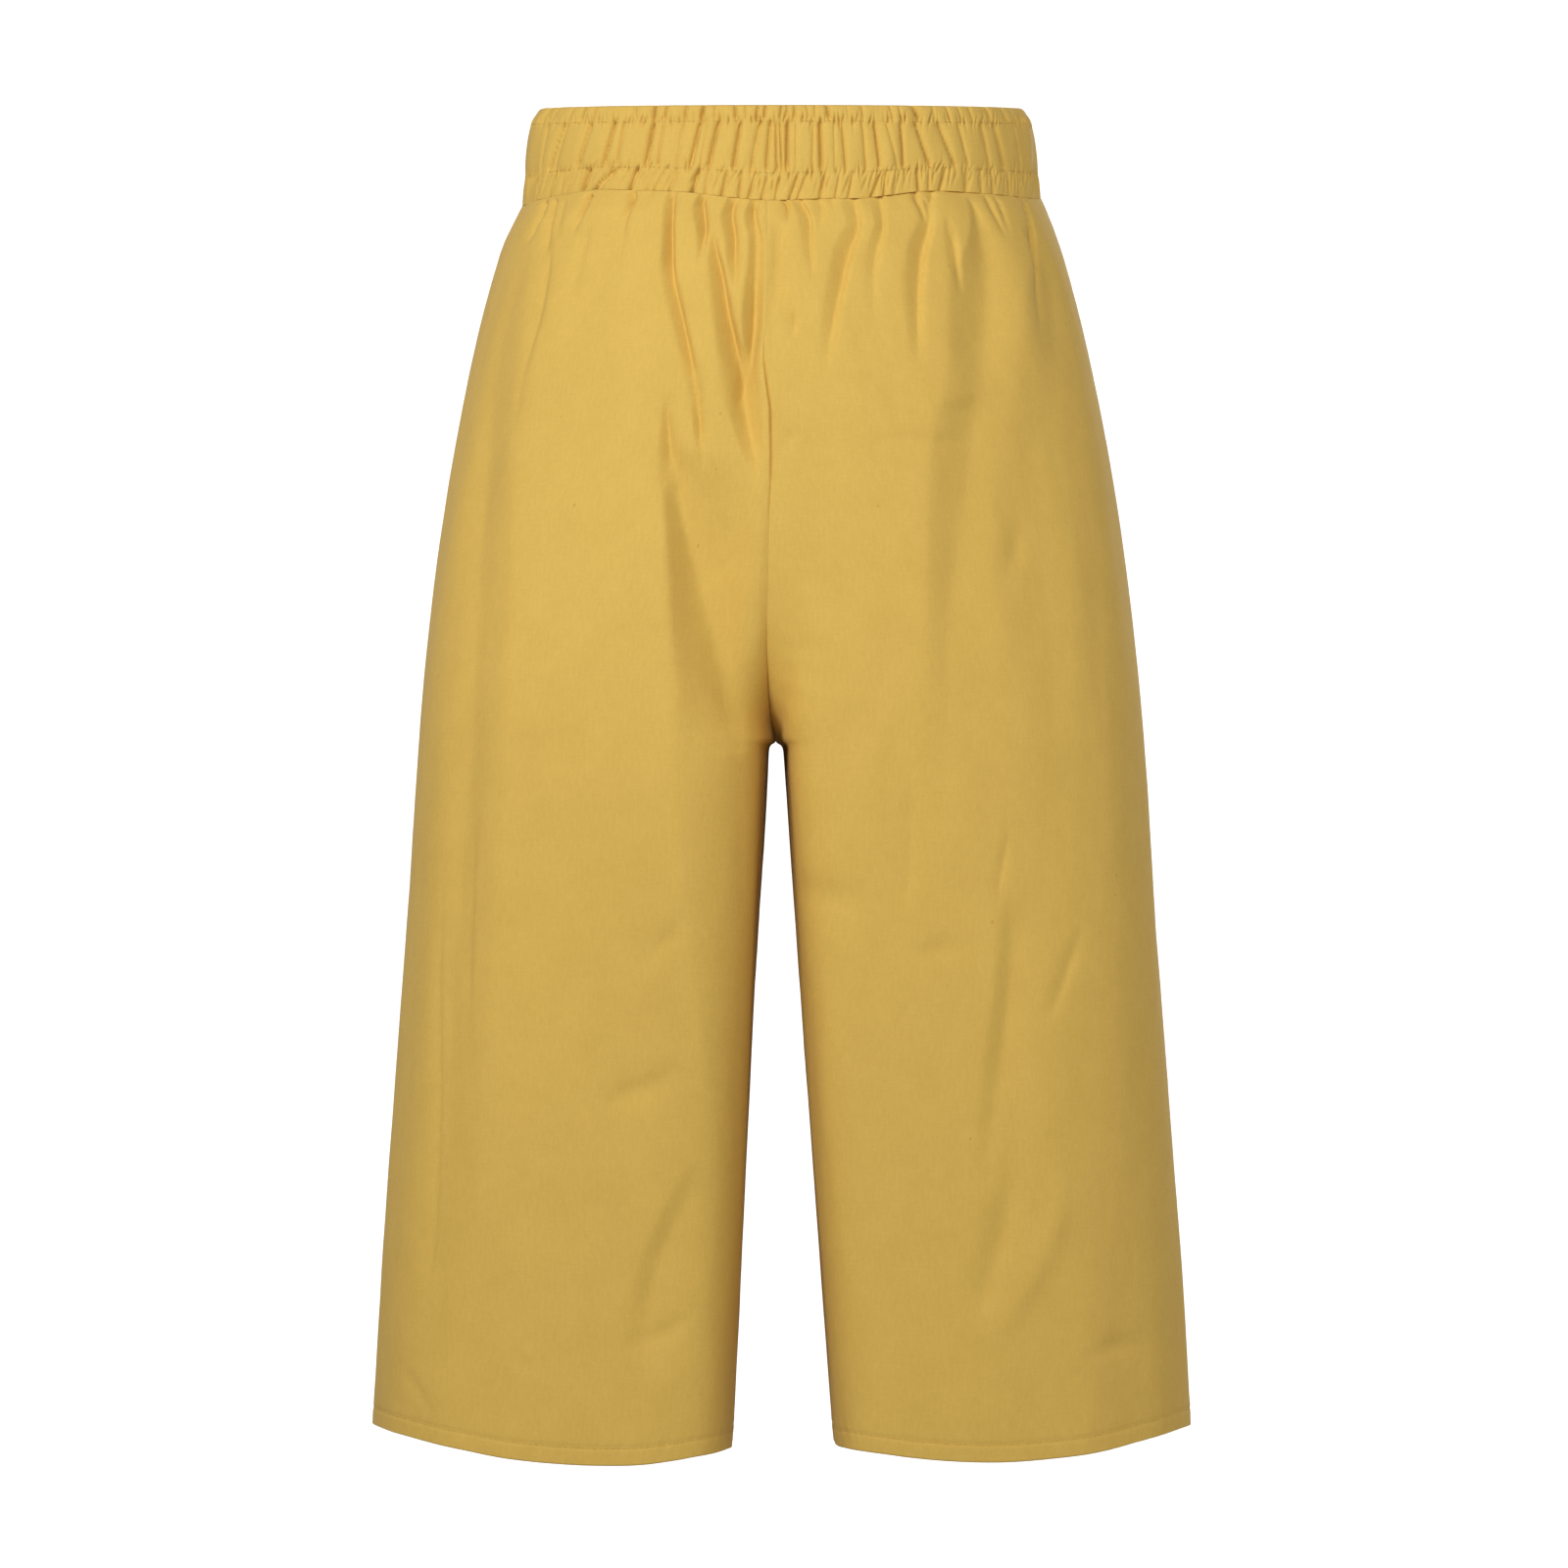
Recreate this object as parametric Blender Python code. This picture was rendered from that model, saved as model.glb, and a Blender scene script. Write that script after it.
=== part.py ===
"""Culottes with a gathered elastic waistband, in the round form they take on a wearer.

Metres, +Z up, the front faces -Y, the wearer's left is +X. The origin is the middle of the
waistband, where a waist holds the garment up. Five pieces are sewn together: the waistband and
four leg panels, each cut from the waist seam to the hem. Each piece is a separate solid.
"""

import math

import bpy
import numpy as np

# ---------------------------------------------------------------- sizes of the whole garment
SEAM_GAP = 0.0003          # space left between two pieces along a seam
CLOTH_WALL = 0.0017        # wall of a single cloth
HEM_WALL = 0.0026          # wall where the hem is turned up
HEM_TURN = 0.0095          # height of the turned-up hem
BAND_HEIGHT = 0.0485       # waistband, seam to top edge
BAND_WALL = 0.0030         # casing and elastic, from the middle of the gathers inwards
WAIST_TILT = 0.098         # how far the waist rises towards the back, metres per metre
WAIST_TILT_ENDS = -0.150   # height at which the tilt has died out
CROTCH_Z = -0.3218         # height of the point where the four panels meet
HEM_Z = -0.7036            # height of the hem at the inseam
WAIST_SEAM_Z = -BAND_HEIGHT / 2
MM = 0.001

# How much higher than HEM_Z the hem hangs, in millimetres, along it from the inseam, 0, to the
# side seam, 1, on the wearer's right leg (-1) and left leg (1).
HEM_RISE = {
    -1: ((0, -2.5), (0.10, 0.2), (0.20, 3.0), (0.26, 3.8), (0.30, 3.2), (0.34, 1.4), (0.38, -0.3),
         (0.46, -0.9), (0.52, 0.2), (0.60, 2.8), (0.65, 5.2), (0.70, 7.6), (0.75, 9.8), (0.80, 11.2),
         (0.86, 11.8), (0.93, 11.0), (1, 9.0)),
    1: ((0, -2.0), (0.10, 1.6), (0.20, 4.8), (0.26, 6.3), (0.30, 6.3), (0.34, 5.2), (0.38, 3.4),
        (0.44, 1.5), (0.52, 0.7), (0.60, 1.9), (0.65, 3.3), (0.70, 5.4), (0.75, 7.9), (0.80, 9.9),
        (0.86, 11.0), (0.93, 10.5), (1, 8.4)),
}
HEM_RISE_FADES = 0.30      # how far up the leg the rise has died out

# The form at each height: half the width, the depth in front of and behind the side seams, the
# place of the centre seam or, further down, of the middle of the gap between the legs, and how
# square the section is (2 is an ellipse).
FORM_COLUMNS = ("z", "half_width", "front", "back", "middle", "power")
FORM = (
    (-0.0240, 0.1428, 0.1040, 0.1080, -0.0078, 2.15),
    (-0.0340, 0.1460, 0.1080, 0.1130, -0.0077, 2.16),
    (-0.0500, 0.1518, 0.1130, 0.1210, -0.0076, 2.18),
    (-0.0820, 0.1609, 0.1200, 0.1320, -0.0073, 2.22),
    (-0.1305, 0.1717, 0.1262, 0.1425, -0.0070, 2.30),
    (-0.1787, 0.1805, 0.1286, 0.1470, -0.0066, 2.38),
    (-0.2430, 0.1896, 0.1288, 0.1465, -0.0056, 2.46),
    (-0.3070, 0.1964, 0.1270, 0.1410, -0.0037, 2.50),
    (-0.3341, 0.1985, 0.1258, 0.1380, -0.0031, 2.50),
    (-0.4200, 0.2041, 0.1210, 0.1310, -0.0025, 2.50),
    (-0.5270, 0.2119, 0.1155, 0.1240, -0.0015, 2.45),
    (-0.6130, 0.2180, 0.1112, 0.1192, -0.0002, 2.40),
    (-0.7100, 0.2234, 0.1080, 0.1160, 0.0011, 2.35),
)

# The crotch seam is a J in front and a deeper one behind.
CROTCH_RISE = {"front": 0.190, "back": 0.210}
CROTCH_POWER = {"front": 3.3, "back": 2.4}
# Where a leg's front and back are foremost, as a share of its width.
CROWN_SHARE = {("front", -1): 0.42, ("front", 1): 0.28, ("back", -1): 0.40, ("back", 1): 0.40}
INNER_POWER = 4.4              # how square the inner edge of a leg is, below the crotch
CROTCH_HOLD = 10.0             # how closely the turn to the crotch keeps to the seam
CROTCH_HOLD_FADES = 8.0
LEG_GAP_AT_CROTCH = 0.0045     # half the gap, just under the crotch point
LEG_GAP_RADIUS = 0.0014        # how fast the gap opens to that
LEG_GAP_SLOPE = 0.0626         # how it widens further down, metres per metre
LEG_GAP_EASE = 0.0060          # over how much the widening starts
LEG_GAP_TAKES_LEG = 0.22       # how far down the whole leg has moved over with its inner edge
LEG_GAP_CORNER = 24.0          # how closely the rounded top of the gap keeps to the seam

# ---------------------------------------------------------------- gathers and folds
# Gathers that leave the waist seam: x where each starts and where it dies out, its length
# down the cloth and its depth. One table for the front, one for the back.
GATHER_COLUMNS = ("x_top", "x_foot", "length", "depth")
GATHERS = {
    "front": (
        (-0.1300, -0.1420, 0.030, 0.0022),
        (-0.1225, -0.1300, 0.030, 0.0014),
        (-0.1148, -0.1240, 0.040, 0.0018),
        (-0.1068, -0.1150, 0.045, 0.0020),
        (-0.0900, -0.0960, 0.040, 0.0012),
        (-0.0772, -0.0820, 0.050, 0.0020),
        (-0.0620, -0.0400, 0.145, 0.0034),
        (-0.0443, -0.0440, 0.045, 0.0028),
        (-0.0334, -0.0190, 0.130, 0.0034),
        (-0.0185, -0.0200, 0.090, 0.0026),
        (0.0028, 0.0050, 0.060, 0.0026),
        (0.0132, 0.0125, 0.038, 0.0016),
        (0.0375, 0.0270, 0.085, 0.0034),
        (0.0495, 0.0460, 0.050, 0.0028),
        (0.0690, 0.0660, 0.080, 0.0030),
        (0.0815, 0.0850, 0.050, 0.0018),
        (0.0960, 0.1040, 0.120, 0.0030),
        (0.1150, 0.1250, 0.045, 0.0014),
        (0.1307, 0.1420, 0.045, 0.0026),
    ),
    "back": (
        (-0.1310, -0.1430, 0.035, 0.0020),
        (-0.1170, -0.1270, 0.070, 0.0024),
        (-0.1020, -0.1120, 0.050, 0.0018),
        (-0.0880, -0.0960, 0.110, 0.0032),
        (-0.0720, -0.0770, 0.060, 0.0024),
        (-0.0570, -0.0560, 0.090, 0.0030),
        (-0.0430, -0.0440, 0.050, 0.0022),
        (-0.0290, -0.0250, 0.110, 0.0034),
        (-0.0175, -0.0160, 0.055, 0.0022),
        (0.0030, 0.0040, 0.055, 0.0024),
        (0.0170, 0.0210, 0.100, 0.0032),
        (0.0330, 0.0350, 0.060, 0.0022),
        (0.0480, 0.0460, 0.120, 0.0034),
        (0.0640, 0.0690, 0.070, 0.0026),
        (0.0800, 0.0870, 0.050, 0.0018),
        (0.0950, 0.1030, 0.105, 0.0030),
        (0.1130, 0.1240, 0.060, 0.0022),
        (0.1310, 0.1430, 0.040, 0.0020),
    ),
}
GATHER_HALF_WIDTH = 0.0030     # of a gather at the waist seam, along the cloth
GATHER_SPREAD = 0.0045         # how much wider it is where it dies out
GATHER_RIDGE = 0.30            # the cloth stands proud beside a gather by this share of its depth
COLUMN_STEP = 0.0012           # the least distance between two columns of a panel
COLUMNS_FOLLOW = (-0.260, -0.110)  # between these heights columns leave their gathers
COLUMN_CROWDING = 6.0          # columns crowd towards the crotch seam where it cuts a row short

# Long soft folds, each along a line from its top to its foot: troughs have a positive depth.
DRAPE_COLUMNS = ("x_top", "z_top", "x_foot", "z_foot", "bow", "half_width", "depth")
DRAPES = {
    "front": (
        (-0.0650, -0.135, -0.0100, -0.310, -0.0110, 0.0130, 0.0060),
        (-0.0300, -0.050, -0.0230, -0.160, 0.0000, 0.0100, 0.0026),
        (-0.1290, -0.070, -0.1830, -0.660, -0.0130, 0.0170, 0.0036),
        (0.1100, -0.040, 0.0950, -0.300, -0.0110, 0.0200, 0.0042),
        (0.0760, -0.100, 0.0790, -0.300, 0.0000, 0.0150, -0.0030),
        (0.0180, -0.360, 0.0450, -0.560, 0.0030, 0.0130, 0.0040),
        (0.1180, -0.400, 0.1120, -0.660, 0.0060, 0.0180, 0.0044),
        (0.0930, -0.380, 0.0750, -0.660, 0.0000, 0.0160, -0.0030),
        (-0.0700, -0.420, -0.0800, -0.660, 0.0000, 0.0170, 0.0034),
    ),
    "back": (
        (0.0520, -0.150, 0.0120, -0.305, 0.0090, 0.0140, 0.0056),
        (-0.0680, -0.160, -0.0160, -0.305, -0.0090, 0.0140, 0.0052),
        (-0.1000, -0.060, -0.1200, -0.420, -0.0080, 0.0180, 0.0042),
        (0.1040, -0.080, 0.1250, -0.480, 0.0080, 0.0180, 0.0044),
        (0.0700, -0.360, 0.0820, -0.670, 0.0060, 0.0170, 0.0044),
        (-0.0880, -0.400, -0.0760, -0.670, -0.0060, 0.0170, 0.0040),
        (0.1500, -0.330, 0.1600, -0.660, 0.0060, 0.0160, 0.0034),
        (-0.1480, -0.300, -0.1650, -0.650, -0.0060, 0.0160, 0.0036),
    ),
}
DRAPE_EDGE_FADE = 0.014        # folds lie flat this near a seam

# The waistband from its top edge down: the distance from the top, how far its outside stands
# out from the plain cone, and the depth of its gathers. Two rows of stitching pinch it.
BAND_COLUMNS = ("below_top", "stands_out", "gather")
BAND = (
    (0.0000, -0.0004, 0.0009),
    (0.0086, -0.0009, 0.0007),     # upper row of stitching
    (0.0217, 0.0010, 0.0017),      # middle of the elastic
    (0.0348, -0.0007, 0.0008),     # lower row of stitching
    (0.0418, 0.0007, 0.0014),
    (0.0485, -0.0002, 0.0008),     # waist seam
)
BAND_TOP = {"half_width": 0.1362, "front": 0.0955, "back": 0.0995}
BAND_FOOT = {"half_width": 0.1420, "front": 0.1030, "back": 0.1070}
BAND_CORNER_LEAN = 0.0034      # the top edge leans in at the sides
BAND_GATHERS = 84
BAND_GATHER_HALF_WIDTH = 0.0021
BAND_GATHER_UNEVEN = 0.24      # how irregular their spacing is, as a share of it
BAND_GATHER_LEAN = 0.0022      # the gathers lean, so that each foot is to one side of its top
GOLDEN = (math.sqrt(5) - 1) / 2

# ---------------------------------------------------------------- rows of the leg panels
ROWS_BELOW_WAIST = (0.0, 0.009, 0.023, 0.044, 0.074, 0.112)      # below the waist seam
ROWS_ABOVE_CROTCH = (0.130, 0.085, 0.048, 0.022, 0.009, 0.003, 0.0007, 0.0)
ROWS_OF_LEG = (0.0016, 0.006, 0.060, 0.150, 0.240, 0.320)        # below the crotch point
ROW_ABOVE_HEM_TURN = 0.003

CLOTH_COLOUR = (0.66, 0.44, 0.11, 1.0)
BAND_COLOUR = (0.68, 0.46, 0.12, 1.0)


def smooth_step(value, start, end):
    """0 before start, 1 after end, and an even S in between."""
    share = np.clip((np.asarray(value, float) - start) / (end - start), 0.0, 1.0)
    return share * share * (3.0 - 2.0 * share)


def smooth_curve(at, places, values):
    """A smooth curve through values at rising places."""
    places, values = np.asarray(places, float), np.asarray(values, float)
    slopes = np.gradient(values, places) if len(places) > 2 else np.diff(values) / np.diff(places)
    slopes = np.broadcast_to(slopes, places.shape)
    at = np.clip(at, places[0], places[-1])
    k = np.clip(np.searchsorted(places, at) - 1, 0, len(places) - 2)
    step = places[k + 1] - places[k]
    t = (at - places[k]) / step
    return (
        (2 * t**3 - 3 * t**2 + 1) * values[k]
        + (t**3 - 2 * t**2 + t) * step * slopes[k]
        + (3 * t**2 - 2 * t**3) * values[k + 1]
        + (t**3 - t**2) * step * slopes[k + 1]
    )


def form(column, z):
    """One column of FORM at height z, on a smooth curve through its rows."""
    heights = [row[0] for row in FORM][::-1]
    values = [row[FORM_COLUMNS.index(column)] for row in FORM][::-1]
    return smooth_curve(z, heights, values)


def rise_share(z, face):
    """0 at the crotch point and below it, 1 where the centre seam starts to turn under."""
    return np.clip((z - CROTCH_Z) / CROTCH_RISE[face], 0.0, 1.0)


def legs_part(across, z):
    """How far the gap between the legs moves the cloth, across being 1 at the inner edge.

    The gap starts with a round end just under the crotch point and then widens evenly. Near the
    crotch only the cloth at the inner edge gives way to it.
    """
    below = max(CROTCH_Z - z, 0.0)
    rounding = LEG_GAP_AT_CROTCH * (1.0 - math.exp(-below / LEG_GAP_RADIUS))
    eased = below - LEG_GAP_EASE * (1.0 - math.exp(-below / LEG_GAP_EASE))
    whole_leg = smooth_step(below, 0.0, LEG_GAP_TAKES_LEG)
    taper = LEG_GAP_SLOPE * eased * (whole_leg * across + (1.0 - whole_leg) * across**3)
    return rounding * across**LEG_GAP_CORNER + taper


def section(z, leg, face, count=300):
    """The plain outline of a panel at height z, from its inner edge to the side seam, as (x, y).

    Below the crotch it is half of a tube. Above, the middle plane cuts the tube short, further
    forward at each height, and the tube's crown moves in until both legs share one round section.
    """
    depth, power = form(face, z), form("power", z)
    middle = form("middle", z)
    width = form("half_width", z) - leg * middle - SEAM_GAP / 2
    share = rise_share(z, face)
    reach = (1.0 - (1.0 - share) ** CROTCH_POWER[face]) ** (1.0 / CROTCH_POWER[face])
    inner_power = INNER_POWER + (power - INNER_POWER) * smooth_step(share, 0.0, 0.7)
    beyond = (1.0 - reach**inner_power) ** (1.0 / inner_power)
    crown = CROWN_SHARE[face, leg] * width * (1.0 - smooth_step(share, 0.0, 1.0))
    step = np.sin(np.linspace(0.0, math.pi / 2, count)) ** (2 / power)
    x = crown + (width - crown) * step
    y = (1.0 - step**power) ** (1.0 / power)
    if crown > SEAM_GAP:
        inner = step[:0:-1] ** (power / inner_power)
        hold = CROTCH_HOLD * (1.0 - share) ** CROTCH_HOLD_FADES
        turned = inner * (1.0 - (1.0 - beyond) * inner**hold)
        x = np.concatenate([crown * (1.0 - inner), x])
        y = np.concatenate([(1.0 - turned**inner_power) ** (1.0 / inner_power), y])
    x = SEAM_GAP / 2 + x + legs_part(1.0 - x / width, z)
    return middle + leg * x, depth * y if face == "back" else -depth * y


def hem_rise(share, z, leg):
    """How far the hem is raised at shares of the way along it, dying out up the leg."""
    places, rise = np.array(HEM_RISE[leg], float).T
    fade = 1.0 - smooth_step(z, HEM_Z, HEM_Z + HEM_RISE_FADES)
    return fade * MM * smooth_curve(share, places, rise)


def panel_rows():
    """Heights of a panel's rows, from the waist seam to the hem."""
    waist = WAIST_SEAM_Z - SEAM_GAP
    rows = [waist - drop for drop in ROWS_BELOW_WAIST]
    rows += [CROTCH_Z + rise for rise in ROWS_ABOVE_CROTCH]
    rows += [CROTCH_Z - drop for drop in ROWS_OF_LEG]
    return rows + [HEM_Z + HEM_TURN + ROW_ABOVE_HEM_TURN, HEM_Z + HEM_TURN, HEM_Z]


def along(x, y):
    """Distance along a line of points."""
    return np.concatenate([[0.0], np.cumsum(np.hypot(np.diff(x), np.diff(y)))])


def panel_gathers(leg, face):
    """The gathers that belong to one panel, from its inner edge to the side seam."""
    middle = form("middle", WAIST_SEAM_Z)
    mine = [dict(zip(GATHER_COLUMNS, row)) for row in GATHERS[face]]
    mine = [g for g in mine if leg * (g["x_top"] - middle) > 0]
    return sorted(mine, key=lambda g: leg * g["x_top"])


def even_columns(length, full_length, count):
    """Distances from the inner edge of evenly spaced columns, crowded where the row is cut short."""
    short = full_length - length
    crowding = min(COLUMN_CROWDING, 0.85 * full_length / max(short, 1e-6))
    from_side = np.linspace(1.0, 0.0, count)
    return length - (full_length * from_side - short * from_side**crowding)


def gather_columns(z, x, distance, full_length, gathers, leg):
    """Where the panel's columns are at height z, and how deep each is pushed in.

    Each gather takes three columns: a shoulder, the valley and the other shoulder. Columns follow
    their gather down the cloth and are evenly spaced once it has died out.
    """
    even = even_columns(distance[-1], full_length, 3 * len(gathers) + 2)
    even[0] = SEAM_GAP / 2 if z <= CROTCH_Z else 0.0
    even[-1] = distance[-1] - SEAM_GAP / 2
    places, depths = even.copy(), np.zeros(len(even))
    for number, g in enumerate(gathers):
        drop = (WAIST_SEAM_Z - z) / g["length"]
        shown = min(drop, 1.0)
        widened = form("half_width", z) / form("half_width", max(z, WAIST_SEAM_Z - g["length"]))
        line = (g["x_top"] + (g["x_foot"] - g["x_top"]) * shown) * widened
        half = GATHER_HALF_WIDTH + GATHER_SPREAD * shown
        own = slice(3 * number + 1, 3 * number + 4)
        tracked = np.interp(leg * line, leg * x, distance) + half * np.array([-1.0, 0.0, 1.0])
        places[own] = even[own] + (tracked - even[own]) * smooth_step(z, *COLUMNS_FOLLOW)
        depth = g["depth"] * (1.0 - smooth_step(shown, 0.15, 1.0))
        depths[own] = depth * np.array([-GATHER_RIDGE, 1.0, -GATHER_RIDGE])
    for i in range(1, len(places) - 1):
        places[i] = max(places[i], places[i - 1] + COLUMN_STEP)
    for i in range(len(places) - 2, 0, -1):
        places[i] = min(places[i], places[i + 1] - COLUMN_STEP)
    return places, depths


def drape(x, z, face):
    """How far the long soft folds push the cloth in at a point."""
    pushed = 0.0
    for row in DRAPES[face]:
        fold = dict(zip(DRAPE_COLUMNS, row))
        share = (fold["z_top"] - z) / (fold["z_top"] - fold["z_foot"])
        if not 0.0 < share < 1.0:
            continue
        line = fold["x_top"] + (fold["x_foot"] - fold["x_top"]) * share
        line += fold["bow"] * 4.0 * share * (1.0 - share)
        strength = smooth_step(share, 0.0, 0.2) * (1.0 - smooth_step(share, 0.6, 1.0))
        pushed = pushed + fold["depth"] * strength * np.exp(-(((x - line) / fold["half_width"]) ** 2))
    return pushed


def panel_row(z, leg, face, gathers, full_length):
    """One row of a panel: its outside from the inner edge to the side seam, then its inside back."""
    x, y = section(z, leg, face)
    distance = along(x, y)
    places, depths = gather_columns(z, x, distance, max(full_length, distance[-1]), gathers, leg)
    turn = 1.0 if (leg > 0) == (face == "front") else -1.0
    out_x = np.interp(places, distance, turn * np.gradient(y, distance))
    out_y = np.interp(places, distance, -turn * np.gradient(x, distance))
    from_edge = np.minimum(places - places[0], places[-1] - places)
    row_x, row_y = np.interp(places, distance, x), np.interp(places, distance, y)
    push = depths + drape(row_x, z, face) * smooth_step(from_edge, 0.0, DRAPE_EDGE_FADE)
    wall = CLOTH_WALL if z > HEM_Z + HEM_TURN else HEM_WALL
    lift = hem_rise(places / distance[-1], z, leg)
    tilt = WAIST_TILT * smooth_step(z, WAIST_TILT_ENDS, WAIST_SEAM_Z)
    loop = []
    for inward in (push, push + wall):
        side_x, side_y = row_x - inward * out_x, row_y - inward * out_y
        loop.append(np.column_stack([side_x, side_y, z + tilt * side_y + lift]))
    return np.concatenate([loop[0], loop[1][::-1]])


def cloth_material(name, colour):
    """A matt woven cloth."""
    material = bpy.data.materials.new(name)
    material.use_nodes = True
    shader = material.node_tree.nodes["Principled BSDF"]
    shader.inputs["Base Color"].default_value = colour
    shader.inputs["Roughness"].default_value = 0.85
    shader.inputs["Metallic"].default_value = 0.0
    shader.inputs["Sheen Weight"].default_value = 0.2
    return material


def add_object(name, mesh, material, collection):
    """An object in the garment's collection, shaded smooth."""
    mesh.materials.append(material)
    mesh.shade_smooth()
    mesh.set_sharp_from_angle(angle=math.radians(60))
    piece = bpy.data.objects.new(name, mesh)
    collection.objects.link(piece)
    return piece


def loft(name, loops, flip, joined_ends=False):
    """A closed mesh through loops of points, capped at its two ends unless they are joined."""
    loops = np.asarray(loops)
    count, width = loops.shape[:2]
    faces = []
    for i in range(count if joined_ends else count - 1):
        for j in range(width):
            this, following = i * width, (i + 1) % count * width
            k = (j + 1) % width
            faces.append((this + j, this + k, following + k, following + j))
    if not joined_ends:
        for start, first in ((0, True), ((count - 1) * width, False)):
            for j in range(width // 2 - 1):
                cap = (start + j, start + width - 1 - j, start + width - 2 - j, start + j + 1)
                faces.append(cap if first else cap[::-1])
    if flip:
        faces = [face[::-1] for face in faces]
    mesh = bpy.data.meshes.new(name)
    mesh.from_pydata(loops.reshape(-1, 3).tolist(), [], faces)
    mesh.validate()
    return mesh


def make_panel(leg, face, material, collection):
    """A leg panel: a wall of cloth, thicker where its hem is turned up."""
    side = "left" if leg > 0 else "right"
    name = f"{face}_panel_{side}"
    gathers = panel_gathers(leg, face)
    full_length = along(*section(CROTCH_Z, leg, face))[-1]
    loops = [panel_row(z, leg, face, gathers, full_length) for z in panel_rows()]
    mesh = loft(name, loops, flip=(leg > 0) == (face == "front"))
    return add_object(name, mesh, material, collection)


def band_gather_angles():
    """Where the waistband's gathers are, as shares of the way round, unevenly spaced."""
    number = np.arange(BAND_GATHERS)
    uneven = BAND_GATHER_UNEVEN * (2.0 * ((number * GOLDEN) % 1.0) - 1.0)
    return (number + 0.5 + uneven) / BAND_GATHERS


def band_size(name, below_top):
    """A size of the plain cone that the waistband lies on."""
    share = below_top / BAND_HEIGHT
    return BAND_TOP[name] + (BAND_FOOT[name] - BAND_TOP[name]) * share


def band_ring(below_top, stands_out, shares):
    """A ring of the waistband at these shares of the way round, moved out by stands_out."""
    angle = np.linspace(0.0, 2 * math.pi, 2001)
    half_width = band_size("half_width", below_top)
    depth = np.where(
        np.sin(angle) < 0, band_size("front", below_top), band_size("back", below_top)
    )
    x, y = half_width * np.cos(angle), depth * np.sin(angle)
    distance = along(x, y)
    place = np.asarray(shares) % 1.0 * distance[-1]
    out_x, out_y = np.gradient(y, distance), -np.gradient(x, distance)
    ring_x = np.interp(place, distance, x)
    ring_y = np.interp(place, distance, y)
    lean = BAND_CORNER_LEAN * (1.0 - smooth_step(below_top, 0.0, 0.009))
    out = stands_out - lean * np.abs(ring_x / half_width) ** 6
    ring_x = ring_x + out * np.interp(place, distance, out_x)
    ring_y = ring_y + out * np.interp(place, distance, out_y)
    ring_z = BAND_HEIGHT / 2 - below_top + WAIST_TILT * ring_y
    return np.column_stack([ring_x, ring_y, ring_z])


def make_waistband(material, collection):
    """The gathered casing: rings down its outside, then up its plain inside."""
    round_it = math.pi * (BAND_TOP["half_width"] + BAND_TOP["front"])
    half = BAND_GATHER_HALF_WIDTH / round_it
    centres = band_gather_angles()
    rings = []
    for below_top, stands_out, gather in BAND:
        lean = BAND_GATHER_LEAN * (0.5 - below_top / BAND_HEIGHT) / round_it
        shares = np.stack([centres - half, centres, centres + half], axis=1).ravel() + lean
        depth = np.tile([-GATHER_RIDGE * gather, gather, -GATHER_RIDGE * gather], BAND_GATHERS)
        rings.append(band_ring(below_top, stands_out - depth, shares))
    for below_top in (BAND_HEIGHT, 0.0):
        shares = np.stack([centres - half, centres, centres + half], axis=1).ravel()
        rings.append(band_ring(below_top, -BAND_WALL, shares))
    mesh = loft("waistband", rings, flip=True, joined_ends=True)
    return add_object("waistband", mesh, material, collection)


def main():
    for old in list(bpy.data.objects):
        bpy.data.objects.remove(old)
    garment = bpy.data.collections.new("culottes")
    bpy.context.scene.collection.children.link(garment)
    cloth = cloth_material("woven cloth", CLOTH_COLOUR)
    casing = cloth_material("gathered casing", BAND_COLOUR)
    make_waistband(casing, garment)
    for face in ("front", "back"):
        for leg in (1, -1):
            make_panel(leg, face, cloth, garment)


main()
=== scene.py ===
"""Culottes with a gathered elastic waistband: the finished cloth, its stitching, light and camera.

Metres, +Z up, the front faces -Y, the wearer's left is +X, the origin is the middle of the
waistband. Five pieces of cloth stand for the five solids, on the same form as they have.
"""

import math

import bpy
import numpy as np
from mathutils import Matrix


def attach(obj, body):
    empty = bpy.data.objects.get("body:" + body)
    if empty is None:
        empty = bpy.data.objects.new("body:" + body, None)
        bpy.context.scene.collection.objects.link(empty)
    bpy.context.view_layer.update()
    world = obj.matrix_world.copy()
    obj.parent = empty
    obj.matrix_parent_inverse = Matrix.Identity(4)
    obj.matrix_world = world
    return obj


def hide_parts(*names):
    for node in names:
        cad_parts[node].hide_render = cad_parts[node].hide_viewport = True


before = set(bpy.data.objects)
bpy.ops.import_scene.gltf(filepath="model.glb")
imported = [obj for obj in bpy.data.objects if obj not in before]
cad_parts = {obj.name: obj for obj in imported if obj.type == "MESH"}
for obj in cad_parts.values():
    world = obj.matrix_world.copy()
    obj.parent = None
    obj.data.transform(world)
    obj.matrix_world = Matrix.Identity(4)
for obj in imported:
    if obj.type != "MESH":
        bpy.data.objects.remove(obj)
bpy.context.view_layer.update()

# ---------------------------------------------------------------- sizes of the whole garment
SEAM_GAP = 0.00004         # space left between two pieces along a seam
CLOTH_WALL = 0.0008        # a single cloth
HEM_WALL = 0.0021          # the hem, turned up twice
HEM_TURN = 0.0095          # height of the turned-up hem
BAND_HEIGHT = 0.0485       # waistband, seam to top edge
BAND_WALL = 0.0030         # casing and elastic
WAIST_TILT = 0.098         # how far the waist rises towards the back, metres per metre
WAIST_TILT_ENDS = -0.150   # height at which the tilt has died out
CROTCH_Z = -0.3218         # height of the point where the four panels meet
HEM_Z = -0.7036            # height of the hem at the inseam
WAIST_SEAM_Z = -BAND_HEIGHT / 2
MM = 0.001

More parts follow.
